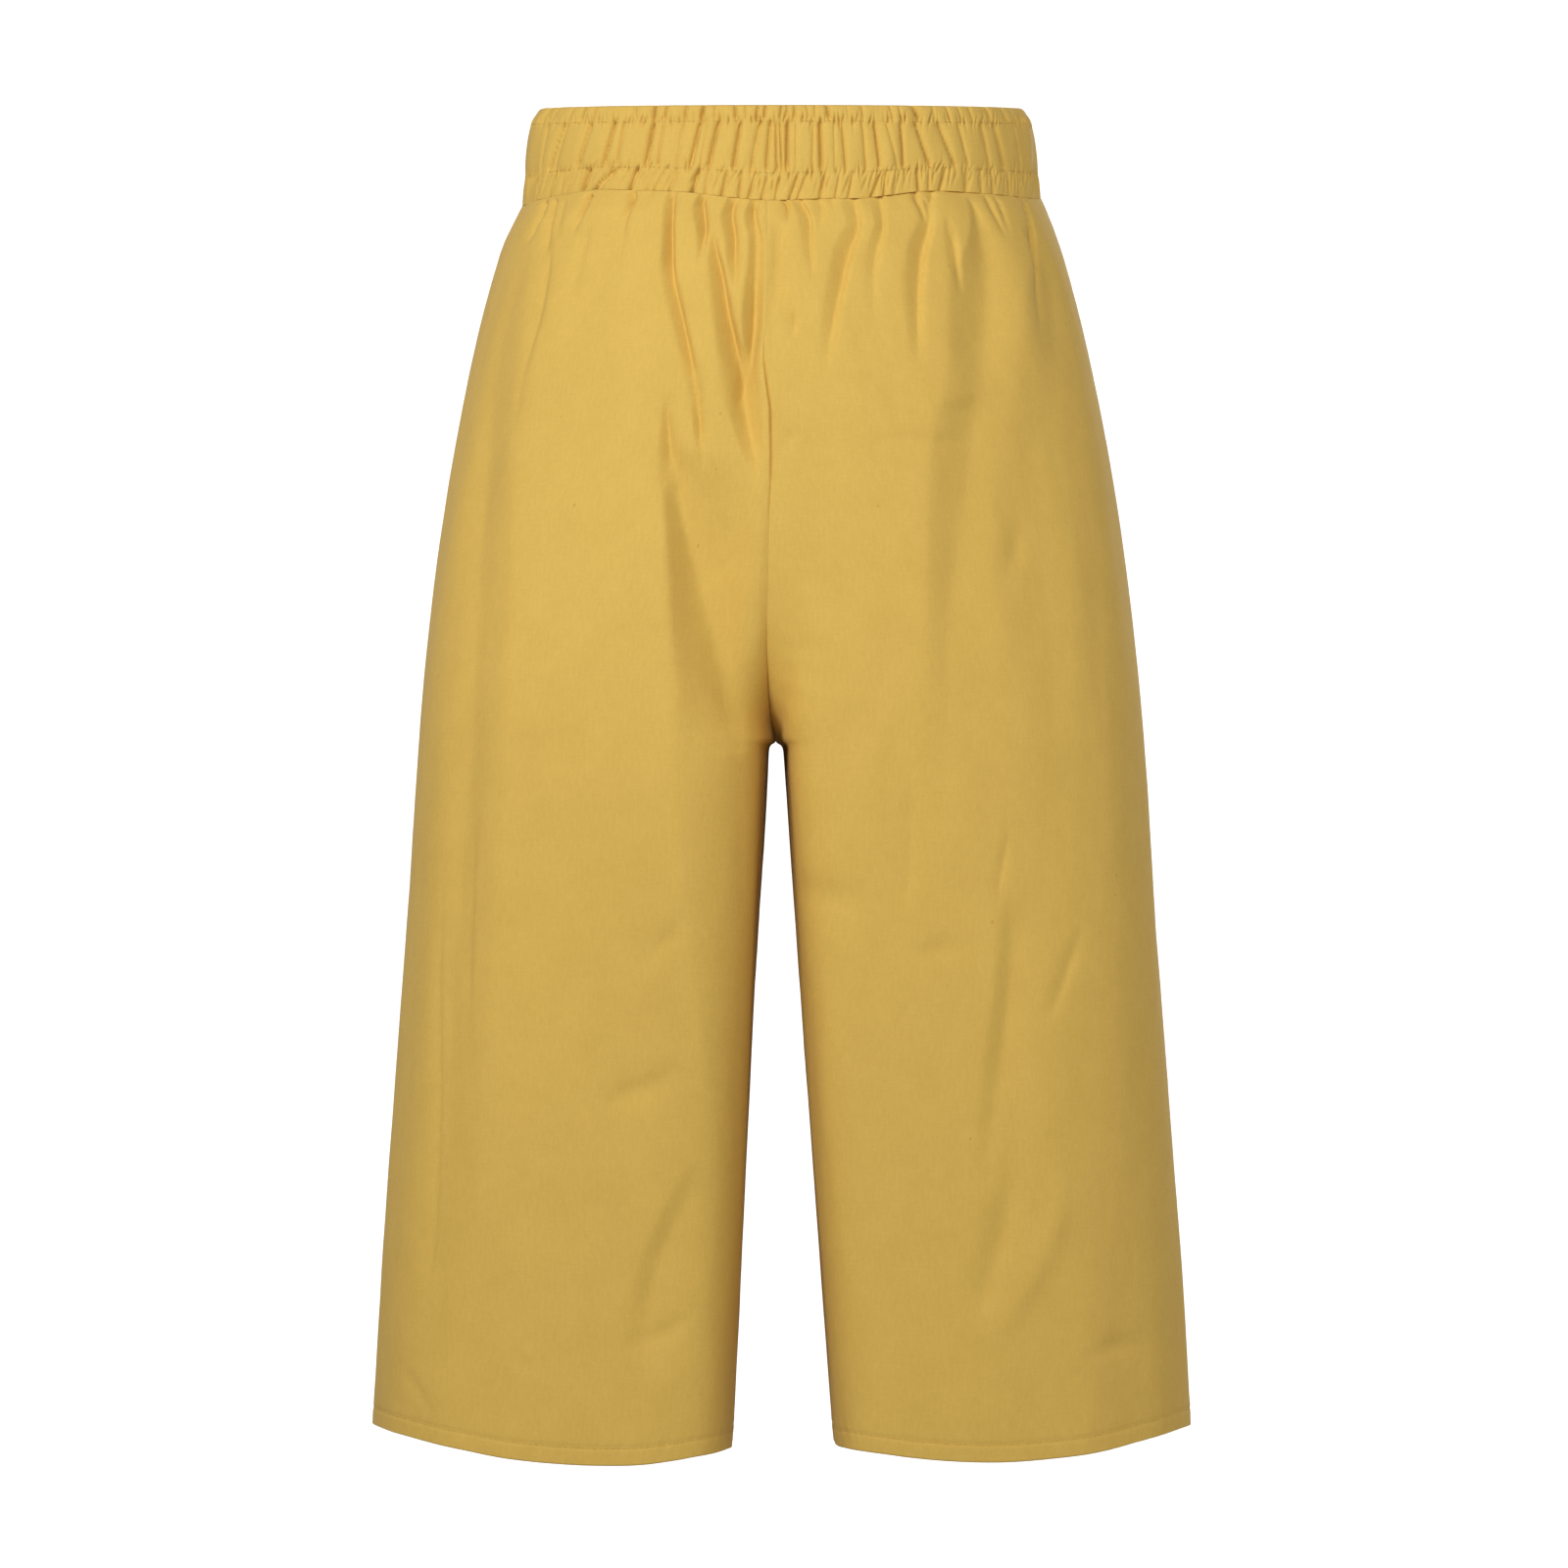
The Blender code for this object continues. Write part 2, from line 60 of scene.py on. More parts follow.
# How much higher than HEM_Z the hem hangs, in millimetres, along it from the inseam, 0, to the
# side seam, 1, on the wearer's right leg (-1) and left leg (1).
HEM_RISE = {
    -1: ((0, -2.5), (0.10, 0.2), (0.20, 3.0), (0.26, 3.8), (0.30, 3.2), (0.34, 1.4), (0.38, -0.3),
         (0.46, -0.9), (0.52, 0.2), (0.60, 2.8), (0.65, 5.2), (0.70, 7.6), (0.75, 9.8), (0.80, 11.2),
         (0.86, 11.8), (0.93, 11.0), (1, 9.0)),
    1: ((0, -2.0), (0.10, 1.6), (0.20, 4.8), (0.26, 6.3), (0.30, 6.3), (0.34, 5.2), (0.38, 3.4),
        (0.44, 1.5), (0.52, 0.7), (0.60, 1.9), (0.65, 3.3), (0.70, 5.4), (0.75, 7.9), (0.80, 9.9),
        (0.86, 11.0), (0.93, 10.5), (1, 8.4)),
}
HEM_RISE_FADES = 0.30      # how far up the leg the rise has died out

# The form at each height: half the width, the depth in front of and behind the side seams, the
# place of the centre seam or, further down, of the middle of the gap between the legs, and how
# square the section is (2 is an ellipse).
FORM_COLUMNS = ("z", "half_width", "front", "back", "middle", "power")
FORM = (
    (-0.0240, 0.1419, 0.1029, 0.1069, -0.0078, 2.00),
    (-0.0340, 0.1460, 0.1080, 0.1130, -0.0077, 2.16),
    (-0.0500, 0.1518, 0.1130, 0.1210, -0.0076, 2.18),
    (-0.0820, 0.1609, 0.1200, 0.1320, -0.0073, 2.22),
    (-0.1305, 0.1717, 0.1262, 0.1425, -0.0070, 2.30),
    (-0.1787, 0.1805, 0.1286, 0.1470, -0.0066, 2.38),
    (-0.2430, 0.1896, 0.1288, 0.1465, -0.0056, 2.46),
    (-0.3070, 0.1964, 0.1270, 0.1410, -0.0037, 2.50),
    (-0.3341, 0.1985, 0.1258, 0.1380, -0.0031, 2.50),
    (-0.4200, 0.2041, 0.1210, 0.1310, -0.0025, 2.50),
    (-0.5270, 0.2119, 0.1155, 0.1240, -0.0015, 2.45),
    (-0.6130, 0.2180, 0.1112, 0.1192, -0.0002, 2.40),
    (-0.7100, 0.2234, 0.1080, 0.1160, 0.0011, 2.35),
)
SECTION_POINTS = 500           # across the plain section of a panel

# The crotch seam is a J in front and a deeper one behind.
CROTCH_RISE = {"front": 0.190, "back": 0.210}
CROTCH_POWER = {"front": 3.3, "back": 2.4}
# Where a leg's front and back are foremost, as a share of its width.
CROWN_SHARE = {("front", -1): 0.42, ("front", 1): 0.28, ("back", -1): 0.40, ("back", 1): 0.40}
INNER_POWER = 4.4              # how square the inner edge of a leg is, below the crotch
INNER_POWER_FADES = 0.7        # the share of the crotch's rise over which that changes to the tube's
CROTCH_HOLD = 10.0             # how closely the turn to the crotch keeps to the seam
CROTCH_HOLD_FADES = 8.0
LEG_GAP_AT_CROTCH = 0.0045     # half the gap, just under the crotch point
LEG_GAP_RADIUS = 0.0014        # how fast the gap opens to that
LEG_GAP_SLOPE = 0.0626         # how it widens further down, metres per metre
LEG_GAP_EASE = 0.0060          # over how much the widening starts
LEG_GAP_TAKES_LEG = 0.22       # how far down the whole leg has moved over with its inner edge
LEG_GAP_POWER = 3              # how closely it keeps to that edge at first
LEG_GAP_CORNER = 24.0          # how closely the rounded top of the gap keeps to the seam

# ---------------------------------------------------------------- the panels' fine mesh
PANEL_COLUMNS = 232            # across a panel, from its inner edge to the side seam
INSIDE_STEP = 3                # the cloth's inside has one column for this many outside
COLUMN_SAMPLES = 1500          # points across, between which the columns are placed
SHORT_ROWS_CROWDING = 6.0      # columns crowd towards the crotch seam where it cuts a row short
SHORT_ROWS_ORDER = 0.85        # but not so much that they would change places
EDGE_CROWDING = {"inner": (7.0, 0.0016), "side": (4.0, 0.0016)}    # and at seams: how much, how wide
FOLD_CROWDING = 2.6            # and along folds, where they are crisp
FOLD_CROWDING_WIDTH = 1.6      # in widths of the fold
FOLD_CROWDING_LIMIT = 0.006    # folds wider than this are left alone
FOLD_CROWDING_FULL = 0.4       # and those narrower than this share of it draw all of them
FOLD_CROWDING_DEPTH = 0.0030   # and shallower ones draw fewer columns
COLUMN_BLEND = 0.007           # columns turn to a new spacing over this height
# Heights between which the rows of a panel are this far apart.
ROW_COLUMNS = ("z_from", "z_to", "step")
ROWS = (
    (WAIST_SEAM_Z - SEAM_GAP, WAIST_SEAM_Z - 0.008, 0.0006),
    (WAIST_SEAM_Z - 0.008, WAIST_SEAM_Z - 0.060, 0.0018),
    (WAIST_SEAM_Z - 0.060, CROTCH_Z + 0.014, 0.0027),
    (CROTCH_Z + 0.014, CROTCH_Z - 0.012, 0.0013),
    (CROTCH_Z - 0.012, HEM_Z + 0.020, 0.0038),
    (HEM_Z + 0.020, HEM_Z + 0.0015, 0.0010),
    (HEM_Z + 0.0015, HEM_Z, 0.00025),
)

# The waist seam wanders up and down: x and how much higher it is, in millimetres.
WAIST_WANDER = {
    "front": ((-143, -5.0), (-128, -0.5), (-115, 1.5), (-102, 3.6), (-82, 3.4), (-48, 2.0), (-27, -0.5),
              (-10, -2.0), (0, -2.0), (27, -1.0), (42, -1.0), (60, 1.0), (75, 2.8), (84, 3.0), (105, 2.0),
              (120, 1.0), (137, -0.5), (143, -0.5)),
    "back": ((-143, -5.0), (-125, -1.0), (-104, 1.8), (-80, -0.4), (-58, 2.4), (-35, 0.6), (-12, -1.8),
             (10, 0.4), (34, 2.2), (60, -0.8), (86, 1.6), (112, 0.2), (130, 1.0), (143, -0.5)),
}
WAIST_WANDER_FADES = 0.030     # how far down the panels it has died out
WAIST_HOLD = (0.0019, 0.0080)  # how deep a gather can be at the waist seam, and over what drop
WAIST_HOLD_STARTS = 0.02       # the share of that drop below which it gets no deeper
WAIST_TURN = (-0.0003, 0.0005)  # the panels' top edge turns in by this, from place to place
WAIST_TURN_HEIGHT = 0.0010
WAIST_TURN_PITCH = 0.0210

# The centre seam wanders from side to side: height and how far towards +x, in millimetres.
SEAM_WANDER = {
    "front": ((-322, 0.0), (-313, -1.5), (-300, -2.7), (-280, -3.0), (-225, -1.0), (-205, -0.2),
              (-183, 1.2), (-160, 1.3), (-147, 1.0), (-135, -0.5), (-118, -2.1), (-100, -1.2), (-34, 0.0)),
    "back": ((-322, 0.0), (-290, 1.0), (-240, -0.8), (-190, 0.9), (-140, -0.6), (-90, 0.8), (-34, 0.0)),
}
# How deep it sinks in: height and depth, in millimetres.
SEAM_SINKS = {
    "front": ((-322, 1.6), (-300, 1.4), (-290, 0.9), (-188, 0.8), (-165, 1.6), (-128, 1.3), (-112, 0.4),
              (-34, 0.4)),
    "back": ((-322, 1.2), (-200, 0.8), (-34, 0.7)),
}

# ---------------------------------------------------------------- gathers and folds
# Each fold has a power, about 1.3 for a crisp crease and 2 for a soft fold, and a line of stations
# from its top to its foot: its place, how wide it is towards -x and +x and how deep it goes in (a
# ridge is negative), in millimetres. With power 0 the cloth falls straight to the line from a crisp
# edge on its -x side and comes back softly, and with power -1 it falls from its +x side.
#
# In front a station's place is where it shows in the picture, in px from its left and its top. Folds
# with a power above 0 are made deeper than noted, and crisp ones wider towards -x, by the factors
# below, so that they show in this light. The gathers under the waistband come first.
PICTURE_MIDDLE = 797.5         # px from the left, where x is 0
PICTURE_LEVEL = 800            # px from the top, level with the camera
PICTURE_LEVEL_Z = -344.85      # CAMERA_Z in millimetres
FRONT_PX = 0.516               # millimetres to a px on the front panels
CRISP_POWER = 1.45             # creases with a lower power are crisp
CRISP_WIDER = {-1: 1.5, 1: 1.15}    # on the wearer's right and left
CRISP_DEEPER = 2.1
SOFT_DEEPER = 1.7
FRONT_STATION_COLUMNS = ("px_right", "px_down", "left", "right", "depth")
FRONT_FOLDS = (
    (1.3, ((551, 196, 1.8, 0.8, 3.3), (546, 212, 2, 0.8, 3), (540, 224, 2.4, 0.9, 2.2),
           (532, 240, 3, 1, 0))),
    (1.3, ((562, 196, 1.6, 0.7, 2.5), (559, 212, 1.8, 0.8, 2.5), (556, 228, 2.4, 1, 1.5),
           (553, 258, 3, 2, 0))),
    (1.3, ((573, 198, 1.6, 0.8, 0.7), (569, 215, 2, 1, 0.6), (565, 242, 3, 1.5, 0))),
    (1.3, ((599, 194, 1.6, 0.8, 3.6), (593, 208, 2, 0.8, 3.3), (587, 220, 2.5, 1, 1.8),
           (582, 234, 3, 1.5, 0))),
    (2, ((598, 222, 5, 3, 0), (595, 240, 5, 3, 0.9), (588, 270, 6, 3, 0.8), (576, 310, 6, 4, 0))),
    (1.3, ((644, 192, 1.4, 0.7, 3.6), (643, 204, 1.6, 0.7, 3.3), (639, 212, 2, 0.9, 1.8),
           (636, 222, 3, 1.5, 1), (631, 262, 4, 2, 0))),
    (1.3, ((663, 192, 1.2, 0.6, 0.8), (661, 214, 1.5, 1, 0))),
    (0, ((685, 190, 2.4, 1.4, 4.3), (685, 205, 3.4, 1.4, 5.4), (685, 215, 4, 1.4, 5.9),
         (684, 235, 4.3, 1.4, 6.2), (684, 262, 5.2, 1.4, 7.3), (686, 285, 5.2, 1.5, 5.7),
         (694, 320, 5.2, 1.8, 5.4), (703, 360, 4.8, 1.8, 5), (711, 400, 4, 2.1, 4.6),
         (714, 430, 3.6, 2.1, 3.9), (716, 460, 2.8, 2.1, 2), (718, 485, 2.4, 2.1, 0))),
    (0, ((716, 190, 2.3, 1.4, 4.4), (716, 205, 3.4, 1.4, 5.6), (717, 215, 4.1, 1.4, 6.2),
         (719, 235, 4.1, 1.4, 5.9), (717, 250, 3.1, 1.5, 3.4), (715, 262, 2, 1.5, 1.2),
         (713, 272, 1.7, 1.5, 0))),
    (0, ((746, 194, 3, 1.4, 4.2), (747, 215, 4.5, 1.4, 5.9), (749, 235, 4.7, 1.5, 5.9),
         (750, 260, 4.5, 1.8, 4.7), (750, 285, 3.8, 2.1, 2.3), (749, 305, 3, 2.2, 0))),
    (0, ((767, 196, 2.4, 1.4, 3.6), (770, 215, 3.9, 1.4, 5.2), (774, 235, 4.7, 1.5, 4.9),
         (779, 258, 7.6, 1.5, 6.8), (777, 285, 8.5, 3.9, 7), (775, 320, 9, 3.6, 8.5),
         (770, 360, 8.5, 3.6, 8.2), (764, 385, 6.6, 4.5, 5.2), (758, 402, 4.8, 4.5, 2.6),
         (752, 418, 3.8, 4.5, 0))),
    (0, ((726, 232, 1.9, 1, 0), (730, 255, 4.2, 1.2, 4), (735, 275, 6.1, 1.4, 6.1), (739, 295, 7, 1.6, 7),
         (744, 325, 7.6, 1.8, 8.1), (751, 355, 9.5, 2.1, 10.1), (756, 385, 9, 4.5, 9.5),
         (759, 405, 8.5, 5.9, 8.7), (763, 430, 8.1, 5.9, 7.8), (768, 455, 6.6, 5.2, 5),
         (771, 480, 3.8, 3.9, 1.7), (773, 500, 2.8, 2.6, 0))),
    (1.3, ((803, 196, 1.2, 0.7, 1.9), (804, 208, 1.4, 0.8, 1.9), (805, 218, 1.6, 0.9, 1.2),
           (801, 228, 1.6, 1.3, 0))),
    (2, ((799, 222, 4, 2, 0), (797, 240, 5, 2, 1.2), (796, 275, 5, 2, 1.2), (798, 320, 4, 3, 0))),
    (0, ((822, 192, 3.2, 0.9, 2.4), (824, 215, 5, 0.9, 3.6), (828, 235, 5.5, 0.9, 3.4),
         (828, 258, 4.5, 1, 2.2), (829, 275, 3, 1.2, 0.8), (830, 290, 2, 2, 0))),
    (0, ((842, 194, 3, 0.8, 1.6), (840, 212, 4, 0.8, 2.4), (838, 224, 4, 1, 1.3), (834, 238, 3, 1.5, 0))),
    (1.3, ((853, 196, 1.2, 0.7, 0.8), (851, 216, 1.4, 1, 0))),
    (0, ((878, 194, 4, 0.9, 2.2), (876, 215, 6.2, 0.9, 3.7), (877, 235, 6.4, 0.9, 3.7),
         (868, 260, 8, 0.9, 4.8), (862, 285, 7.8, 1, 4.4), (853, 320, 6.5, 1.4, 3.2),
         (846, 355, 5.5, 2, 1.4), (842, 385, 5, 3, 0))),
    (0, ((902, 194, 3, 0.8, 2), (902, 215, 4.4, 0.8, 2.9), (902, 235, 4.6, 0.9, 2.9),
         (895, 260, 5.5, 1.4, 2.7), (892, 280, 5, 1.8, 1.6), (892, 305, 5, 2.2, 0.8), (891, 335, 5, 3, 0))),
    (1.3, ((936, 192, 1.2, 0.7, 2), (940, 204, 1.3, 0.7, 2), (944, 214, 1.5, 0.9, 1.3),
           (947, 222, 1, 1, 0))),
    (1.3, ((954, 192, 1.6, 0.7, 1.6), (953, 204, 2.4, 0.7, 1.5), (950, 216, 1.8, 1, 0))),
    (0, ((949, 204, 5, 1.5, 1.2), (950, 235, 7, 1, 3.7), (944, 260, 8.6, 1, 4.7), (941, 285, 8.5, 1.2, 4),
         (938, 320, 7.2, 2, 3.1), (937, 355, 5, 3, 1.4), (936, 380, 4, 4, 0))),
    (0, ((968, 214, 3, 0.8, 0), (972, 228, 4.5, 0.8, 1.8), (976, 240, 6.5, 1, 2.6), (979, 262, 6.5, 1, 2.6),
         (982, 280, 5, 1.2, 1.8), (984, 298, 3, 1.2, 0))),
    (0, ((996, 200, 3, 2, 1.5), (1003, 222, 6, 4, 3.2), (1010, 245, 11, 8, 5), (1015, 275, 19, 12, 7),
         (1016, 305, 25, 16, 8.5), (1014, 335, 24, 18, 8.5), (1010, 365, 22, 20, 7.6),
         (1008, 395, 21.8, 22, 5.3), (1002, 430, 22.8, 24, 5.2), (996, 470, 23.8, 26, 5.3),
         (990, 510, 22.8, 26, 5), (983, 560, 19, 26, 4.5), (972, 620, 14.2, 26, 3.3),
         (968, 680, 12.3, 26, 2.7), (970, 740, 16.1, 26, 2.7), (967, 800, 15.2, 24, 1.7),
         (964, 860, 13.3, 20, 0))),
    (0, ((1046, 215, 2, 1, 0), (1060, 235, 8, 8, 2), (1075, 262, 16, 12, 3.4), (1085, 300, 24, 14, 4.8),
         (1086, 340, 24, 18, 4.2), (1084, 380, 24, 24, 1.7), (1078, 425, 22, 30, 1.5),
         (1064, 470, 20, 36, 1.5), (1054, 520, 18, 40, 1.5), (1052, 580, 17, 40, 1),
         (1048, 640, 14, 40, 0.5), (1044, 700, 12, 40, 0))),
    (0, ((1030, 350, 34, 20, 0), (1056, 395, 58, 36, 3), (1068, 450, 66, 42, 6), (1076, 520, 69, 46, 8.5),
         (1080, 600, 70, 46, 9), (1084, 680, 70, 46, 8.5), (1086, 760, 70, 46, 7), (1086, 840, 68, 46, 5.5),
         (1084, 920, 66, 42, 3), (1080, 1000, 60, 36, 0))),
    (1.3, ((1012, 194, 1.2, 0.7, 1.4), (1017, 206, 1.4, 0.8, 1.4), (1024, 220, 1.4, 1, 0.9),
           (1030, 234, 1.2, 1.2, 0))),
    (1.3, ((1023, 196, 1.2, 0.7, 1.1), (1029, 212, 1.4, 0.8, 1), (1034, 234, 1.5, 1.5, 0))),
    (1.3, ((1053, 196, 1.2, 0.8, 2.6), (1057, 212, 1.4, 0.8, 2.6), (1062, 232, 2, 0.9, 2.4),
           (1066, 250, 2.6, 1.2, 2), (1068, 270, 3, 2, 1.4), (1069, 295, 3.5, 3, 1), (1071, 345, 4, 4, 0))),
    (1.3, ((810, 316, 1.6, 0.9, 0), (811, 328, 2, 1, 0.9), (809, 346, 1.6, 1, 0))),
    (0, ((682, 400, 2, 1.5, 0), (681, 422, 3.4, 1.8, 2.2), (682, 445, 4.8, 3, 4.2), (684, 470, 5.8, 6, 5.8),
         (690, 498, 6.5, 16, 7.6), (697, 530, 9, 28, 9.4), (705, 560, 12, 36, 11), (715, 592, 16, 40, 12.5),
         (726, 630, 21, 38, 12.8), (740, 664, 27, 32, 11.5), (751, 700, 32, 24, 8), (757, 735, 34, 18, 4),
         (760, 768, 34, 14, 0))),
    (-1, ((668, 470, 14, 8, 0), (672, 540, 20, 12, -1.8), (676, 600, 24, 20, -4.4),
          (680, 660, 28, 28, -7.2), (682, 720, 30, 34, -9.8), (685, 790, 30, 38, -11.8),
          (688, 861, 28, 38, -12.2), (695, 930, 26, 36, -11.2), (706, 1022, 22, 32, -8.4),
          (718, 1100, 18, 26, -5.2), (730, 1180, 14, 20, -2.6), (738, 1260, 12, 16, 0))),
    (-1, ((530, 250, 4, 8, 0), (512, 310, 10, 18, 2), (500, 365, 14, 22, 3.2), (490, 430, 16, 24, 4),
          (484, 520, 16, 26, 4.4), (480, 640, 16, 27, 4.6), (474, 780, 16, 27, 4.4),
          (462, 930, 16, 26, 3.8), (454, 1060, 15, 25, 3.4), (448, 1200, 15, 24, 3),
          (442, 1320, 14, 22, 2.2), (436, 1420, 12, 18, 0))),
    (1.5, ((560, 230, 3, 1.5, 0), (556, 270, 5, 2, 1), (548, 320, 6, 2, 1), (530, 385, 7, 3, 0.7),
           (520, 450, 7, 3, 0))),
    (1.5, ((447, 880, 3, 1.5, 0), (443, 980, 4, 1.5, 0.4), (442, 1130, 4, 1.5, 0.5), (437, 1260, 4, 2, 0.5),
           (430, 1360, 4, 2.5, 0))),
    (1.6, ((482, 820, 5, 2, 0), (478, 900, 5, 2, 0.4), (476, 1000, 5, 2, 0.4), (475, 1070, 5, 2, 0))),
    (1.8, ((702, 928, 4, 4, 0), (680, 960, 5, 5, 0.9), (652, 990, 5, 5, 0))),
    (1.8, ((700, 1086, 4, 6, 0), (665, 1106, 5, 8, 1), (638, 1116, 5, 8, 0.8), (606, 1125, 4, 5, 0))),
    (0, ((712, 1185, 5, 6, 0), (700, 1225, 9, 12, 2), (678, 1275, 10, 16, 3), (664, 1325, 10, 18, 3),
         (660, 1375, 10, 18, 2), (662, 1410, 9, 14, 0))),
    (1.8, ((715, 1335, 3, 3, 0), (675, 1362, 3, 4, 0.8), (635, 1372, 3, 4, 0))),
    (1.6, ((517, 1372, 2, 2, 0), (530, 1390, 3, 2, 0.6), (552, 1398, 3, 2, 0))),
    (1.6, ((398, 1400, 2, 2, 0), (420, 1420, 3, 2, 0.6), (440, 1450, 3, 2, 0))),
    (1.8, ((885, 455, 3, 2, 0), (920, 449, 4, 2.5, 0.5), (960, 450, 4, 2.5, 0.5), (1005, 446, 3, 2, 0))),
    (2, ((1055, 520, 6, 5, 0), (1045, 565, 8, 6, 0.9), (1028, 605, 7, 6, 0))),
    (0, ((1106, 455, 8, 8, 0), (1122, 510, 14, 14, 0.5), (1131, 560, 18, 16, 0.8), (1134, 620, 20, 16, 0.9),
         (1133, 680, 20, 16, 0.8), (1128, 740, 20, 16, 0.7), (1122, 800, 18, 16, 0.5),
         (1116, 860, 16, 12, 0))),
    (2, ((905, 700, 8, 8, 0), (893, 780, 9, 8, -0.8), (893, 880, 9, 8, -0.6), (900, 960, 9, 9, 0))),
    (1.6, ((932, 770, 5, 3, 0), (930, 830, 6, 3, 0.9), (928, 895, 6, 4, 0.8), (922, 940, 5, 4, 0))),
    (1.5, ((1034, 845, 2, 1.5, 0), (1028, 872, 3, 1.5, 0.7), (1021, 900, 3, 2, 0.6), (1018, 930, 3, 2, 0))),
    (0, ((1030, 915, 4, 4, 0), (1034, 950, 8, 10, 2.5), (1033, 990, 9, 12, 3.5), (1028, 1050, 10, 14, 4),
         (1020, 1110, 10, 14, 3.2), (1012, 1160, 9, 14, 2), (1008, 1220, 9, 12, 0))),
    (1.8, ((990, 975, 5, 4, 0), (960, 968, 6, 5, 0.8), (930, 985, 5, 5, 0))),
    (1.8, ((1110, 945, 3, 3, 0), (1094, 985, 5, 3, 0.8), (1078, 1025, 5, 3, 0.6), (1064, 1045, 4, 3, 0))),
    (2, ((1040, 1120, 8, 6, 0), (1036, 1190, 9, 7, 1.2), (1024, 1260, 9, 7, 1.6), (1006, 1320, 8, 7, 1.2),
         (996, 1360, 6, 5, 0))),
    (2, ((1090, 1190, 8, 7, 0), (1078, 1250, 9, 7, -1), (1054, 1305, 9, 7, -1.1), (1030, 1345, 8, 6, -0.6),
         (1010, 1370, 6, 5, 0))),
    (1.8, ((1105, 1390, 3, 3, 0), (1135, 1380, 4, 3, 0.8), (1185, 1378, 4, 3, 0))),
    (1.8, ((812, 900, 7, 6, 0), (832, 910, 12, 8, 0.9), (862, 915, 12, 8, 0.9), (886, 908, 8, 6, 0))),
    (1.5, ((795, 449, 2, 1.5, 0), (806, 447, 2.2, 1.5, 0.8), (820, 450, 2, 1.5, 0))),
)
